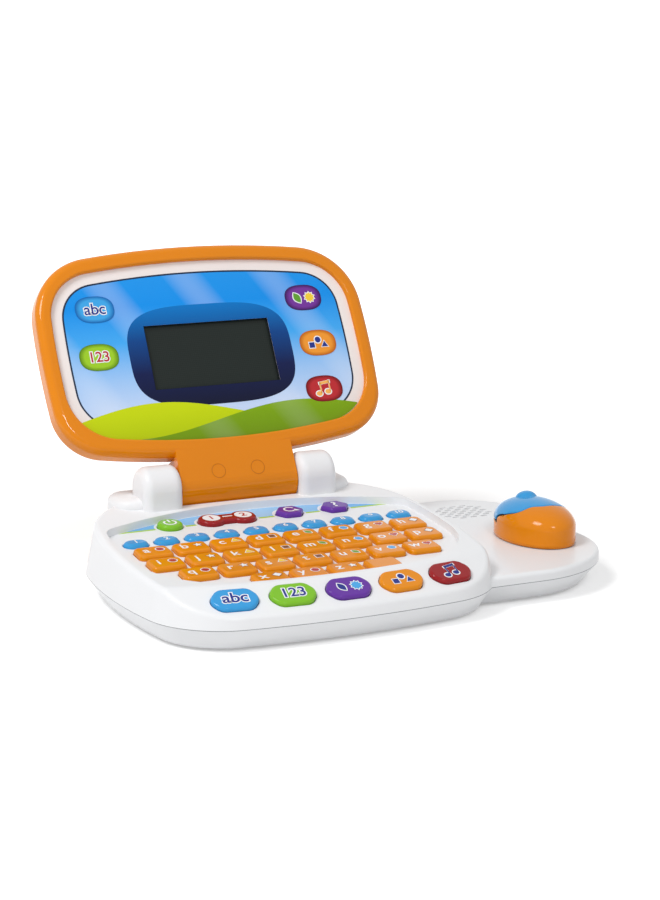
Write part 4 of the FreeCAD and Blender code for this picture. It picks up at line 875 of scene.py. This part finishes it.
badge_signs = {
    "blue": word_sign("abc", 10.4, "navy", lift=0, ground=0.7, bold=0.1),
    "green": word_sign("123", 9.4, "red", lift=0, ground=0.7, bold=0.1),
    "purple": sign([leaf(8.0, 4.6, turn=0.5)], "green", -4.2, lift=0) + sign(sun, "yellow", 4.4, lift=0),
    "orange": sign(blocks, "navy", lift=0),
    "red": sign(two_notes(), "pale_orange", -0.8, lift=0),
}
for colour, x, up, middle, rim in BADGES:
    badge(f"badge_{colour}", x, up, badge_finish(f"badge_{colour}_print", middle, rim))
    place = lid_frame @ Matrix.Translation((x, up, PANEL_FACE + BADGE_SIGN_LIFT))
    printed(f"badge_print_{colour}", "lid", place, badge_signs[colour])
print(len(BADGES), "badges")

# %% [markdown]
# ## The mouse
# The mouse is an oval skirt with half an ellipsoid on it. A blue cap covers the back of the dome and dips
# when it is clicked, so the skirt is lower under it. The cap's front edge runs across the dome, with a soft
# step left of the middle, and swings back along the left side. The two shells could be cut from one solid.
# As grids over the mouse's plan they need no cut, and the edge between them is a formula that both follow.

# %% Mouse curves
MOUSE = np.array((166.0, -12.0, 20.5))
HALF_WIDTH, HALF_LENGTH, SKIRT, DOME = 22.0, 33.0, 10.0, 14.5
KNOB_BACK, KNOB_RADIUS, KNOB_HEIGHT = 11.0, 6.4, 3.2


def cap_edge(across):
    """The cap's front edge as a share of the half length, from a share of the half width.

    It is level in front. One over one plus an exponential steps it back left of the middle, an exponential
    lifts it steeply at the far left, and a square bends it back gently on the right."""
    step = 0.13 / (1 + np.exp((across + 0.3) / 0.07))
    rise = 0.9 * np.exp(-(across + 1) / 0.11)
    bend = 0.45 * np.maximum(across - 0.15, 0) ** 2
    return -0.455 + step + rise + bend


def dome_point(across, along, knob=0.0):
    """A point on the dome from its shares of the half sizes: what the squares leave gives the height.

    A knob adds a round bump behind the middle, whose height falls to nothing at its own radius."""
    rise = DOME * np.sqrt(np.maximum(1 - across ** 2 - along ** 2, 0))
    apart = np.hypot(across * HALF_WIDTH, along * HALF_LENGTH - KNOB_BACK) / KNOB_RADIUS
    rise = rise + knob * np.maximum(1 - apart ** 2, 0) ** 0.55
    return np.stack(np.broadcast_arrays(across * HALF_WIDTH, along * HALF_LENGTH, SKIRT + rise), -1)


print("the cap begins", round(float(-cap_edge(0.0)) * HALF_LENGTH, 1), "mm in front of the middle")

# %% [markdown]
# The columns of both grids are places across the mouse and the rows are places along it. They crowd towards
# the rim, where the dome is steep. The shell stops short of the cap's edge by a room measured square to that
# edge. At the far left, where the cap would end in a thin point, the shell goes on to the back instead.

# %% Mouse shell
CLICK_ROOM, SIDE_ROOM, BLUNT_END = 1.8, 0.5, 0.12
SKIRT_ROOM_FRONT, SKIRT_ROOM_LEFT = 0.025, 0.01
SHELL_WALL, CAP_WALL, WELD_REACH = 0.6, 1.2, 0.00002


def mouse_piece(name, grids, material, node, thickness):
    """Grids in mouse millimetres as one piece with a wall, in place of a CAD node."""
    points = np.concatenate([grid.reshape(-1, 3) for grid in grids])
    starts = np.cumsum([0] + [grid.shape[0] * grid.shape[1] for grid in grids])
    faces = np.concatenate([grid_faces(*grid.shape[:2]) + start for grid, start in zip(grids, starts)])
    mesh = bpy.data.meshes.new(name)
    mesh.from_pydata(((points + MOUSE - ORIGIN) * MM).tolist(), [], faces.tolist())
    mesh.polygons.foreach_set("use_smooth", np.ones(len(mesh.polygons), bool))
    mesh.materials.append(material)
    piece = bpy.data.objects.new(name, mesh)
    scene.collection.objects.link(piece)
    weld = piece.modifiers.new("weld", "WELD")
    weld.merge_threshold = WELD_REACH
    wall = piece.modifiers.new("wall", "SOLIDIFY")
    wall.thickness, wall.offset = thickness * MM, -1.0
    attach(piece, node)
    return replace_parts(piece, node)


across = np.sin(np.linspace(-math.pi / 2, math.pi / 2, 181))[None, :]
half_chord = np.sqrt(1 - across ** 2)
capped = cap_edge(across) < half_chord - BLUNT_END
left_end = across[capped].min()
slant = np.gradient(cap_edge(across)[0], across[0]) * HALF_LENGTH / HALF_WIDTH
room = SIDE_ROOM / HALF_LENGTH * np.hypot(1, slant)
edge = np.maximum(np.where(capped, cap_edge(across) - room, half_chord), -half_chord)
row = np.linspace(0, 1, 60)[:, None]
front = dome_point(across, -half_chord + (edge + half_chord) * (1 - np.cos(row * math.pi / 2)))
angle = np.linspace(0, 2 * math.pi, 361)
behind_edge = np.sin(angle) > cap_edge(np.cos(angle)) - SKIRT_ROOM_FRONT
under_cap = behind_edge & (np.cos(angle) > left_end - SKIRT_ROOM_LEFT)
top = np.where(under_cap, SKIRT - CLICK_ROOM, SKIRT)
skirt = np.stack(np.broadcast_arrays(HALF_WIDTH * np.cos(angle), HALF_LENGTH * np.sin(angle),
                                     top * np.linspace(0, 1, 6)[:, None]), -1)
mouse_piece("mouse_front", (front, skirt), orange_shell, "mouse_shell", SHELL_WALL)
print("the shell's dome is", round(SKIRT + DOME, 1), "mm high")

# %% [markdown]
# The cap takes the rest of the dome, from its own edge to the back. A small knob for the finger stands on it.

# %% Mouse cap
covered = across[capped & (across > left_end + SIDE_ROOM / HALF_WIDTH)][None, :]
back_edge = np.sqrt(1 - covered ** 2)
front_edge = np.maximum(cap_edge(covered), -back_edge)
along = front_edge + (back_edge - front_edge) * np.sin(row * math.pi / 2)
cap = dome_point(covered, along, knob=KNOB_HEIGHT)
mouse_piece("mouse_cap", (cap,), blue_key, "mouse_button", CAP_WALL)
print("the cap is", round(float(np.ptp(cap[..., 0])), 1), "mm wide")

# %% [markdown]
# ## Plugs in the hinge tongue
# Two round plugs close the screw holes on the front of the tongue. They are flush, so only a fine ring
# shows: a narrow band between two circles.

# %% Plug rings
PLUG_SPREAD, PLUG_UP, PLUG_LIFT = 13.0, 4.8, 0.04
PLUG_RADII = np.array((4.6, 4.2))[:, None]
plug_ring = plastic("plug_ring_shadow", "B76405", 0.35)
for side, x in (("left", -PLUG_SPREAD), ("right", PLUG_SPREAD)):
    ring = around(x, PLUG_UP, PLUG_RADII, LID_FACE + PLUG_LIFT)
    lid_piece(f"plug_ring_{side}", ring, plug_ring)
print("two plug rings")

# %% [markdown]
# ## Floor, light and camera
# The picture has a white ground with a soft shadow to the right. The floor is pale, and for camera, mirror
# and glass rays it also glows a little, so that it comes out white while the light on the toy stays plain.

# %% Floor and surroundings
GLOW_START, GLOW_END, GLOW_NEAR, GLOW_FAR = 0.22, 0.7, 0.3, 1.0
STUDIO_LIGHT, STUDIO_GLOW = 0.45, 0.55


def seen_directly(tree):
    """One for camera, mirror and glass rays, and nothing for light that bounces off dull surfaces."""
    ray = add(tree, "LightPath").outputs
    looked_at = sums(tree, "ADD", ray["Is Camera Ray"], ray["Is Glossy Ray"])
    return sums(tree, "MINIMUM", sums(tree, "ADD", looked_at, ray["Is Transmission Ray"]), 1.0)


floor_mesh = bpy.data.meshes.new("floor")
floor_mesh.from_pydata([(-30, -30, 0), (30, -30, 0), (30, 60, 0), (-30, 60, 0)], [], [(0, 1, 2, 3)])
floor = bpy.data.objects.new("floor", floor_mesh)
scene.collection.objects.link(floor)
floor_paint, tree, shader = shade("floor_paint")
floor_mesh.materials.append(floor_paint)
shader.inputs["Base Color"].default_value = paint("F2F2F2")
shader.inputs["Roughness"].default_value = 0.9
shader.inputs["Emission Color"].default_value = (1, 1, 1, 1)
place = add(tree, "TexCoord").outputs["Object"]
distance = add(tree, "VectorMath", {0: place}, operation="LENGTH").outputs["Value"]
glow = add(tree, "MapRange", {0: distance, 1: GLOW_START, 2: GLOW_END, 3: GLOW_NEAR, 4: GLOW_FAR}).outputs[0]
tree.links.new(sums(tree, "MULTIPLY", seen_directly(tree), glow), shader.inputs["Emission Strength"])

world = bpy.data.worlds.new("studio")
world.use_nodes = True
scene.world = world
tree = world.node_tree
sky_light = tree.nodes["Background"].inputs
sky_light["Color"].default_value = (1, 1, 1, 1)
strength = sums(tree, "MULTIPLY_ADD", seen_directly(tree), STUDIO_GLOW, STUDIO_LIGHT)
tree.links.new(strength, sky_light["Strength"])
print("the floor glows fully from", GLOW_END, "m on")

# %% [markdown]
# A large soft lamp at the left gives the broad highlights and the shadow to the right. A smaller one in front
# gives the keys their small bright spots. The camera's place and lens were worked out from the toy's own
# straight and level edges.

# %% Lamps and camera
LIT_POINT = Vector((0, 0, 0.07))
SENSOR, FOCAL_PIXELS, PICTURE_PIXELS = 36.0, 2159.3, 900
CAMERA_PLACE = (-0.5459, -1.1529, 0.3531)
CAMERA_RIGHT = Vector((0.9041, -0.4274, 0.0))
CAMERA_BACK = Vector((-0.4179, -0.8840, 0.2096))


def softbox(name, place, size, power):
    """A square lamp that faces the middle of the toy."""
    lamp = bpy.data.lights.new(name, "AREA")
    lamp.size, lamp.energy = size, power
    holder = bpy.data.objects.new(name, lamp)
    holder.location = place
    holder.rotation_euler = (LIT_POINT - Vector(place)).to_track_quat("-Z", "Y").to_euler()
    scene.collection.objects.link(holder)


softbox("key_light", (-1.1, -0.3, 1.5), 0.6, 17.0)
softbox("front_light", (-0.1, -1.7, 1.5), 0.32, 8.0)

camera_data = bpy.data.cameras.new("camera")
camera_data.sensor_width = SENSOR
camera_data.lens = SENSOR * FOCAL_PIXELS / PICTURE_PIXELS
camera = bpy.data.objects.new("camera", camera_data)
right, back = CAMERA_RIGHT.normalized(), CAMERA_BACK.normalized()
turn = Matrix((right, back.cross(right), back)).transposed()
camera.matrix_world = Matrix.Translation(CAMERA_PLACE) @ turn.to_4x4()
scene.collection.objects.link(camera)
scene.camera = camera
print("lens", round(camera_data.lens, 1), "mm")
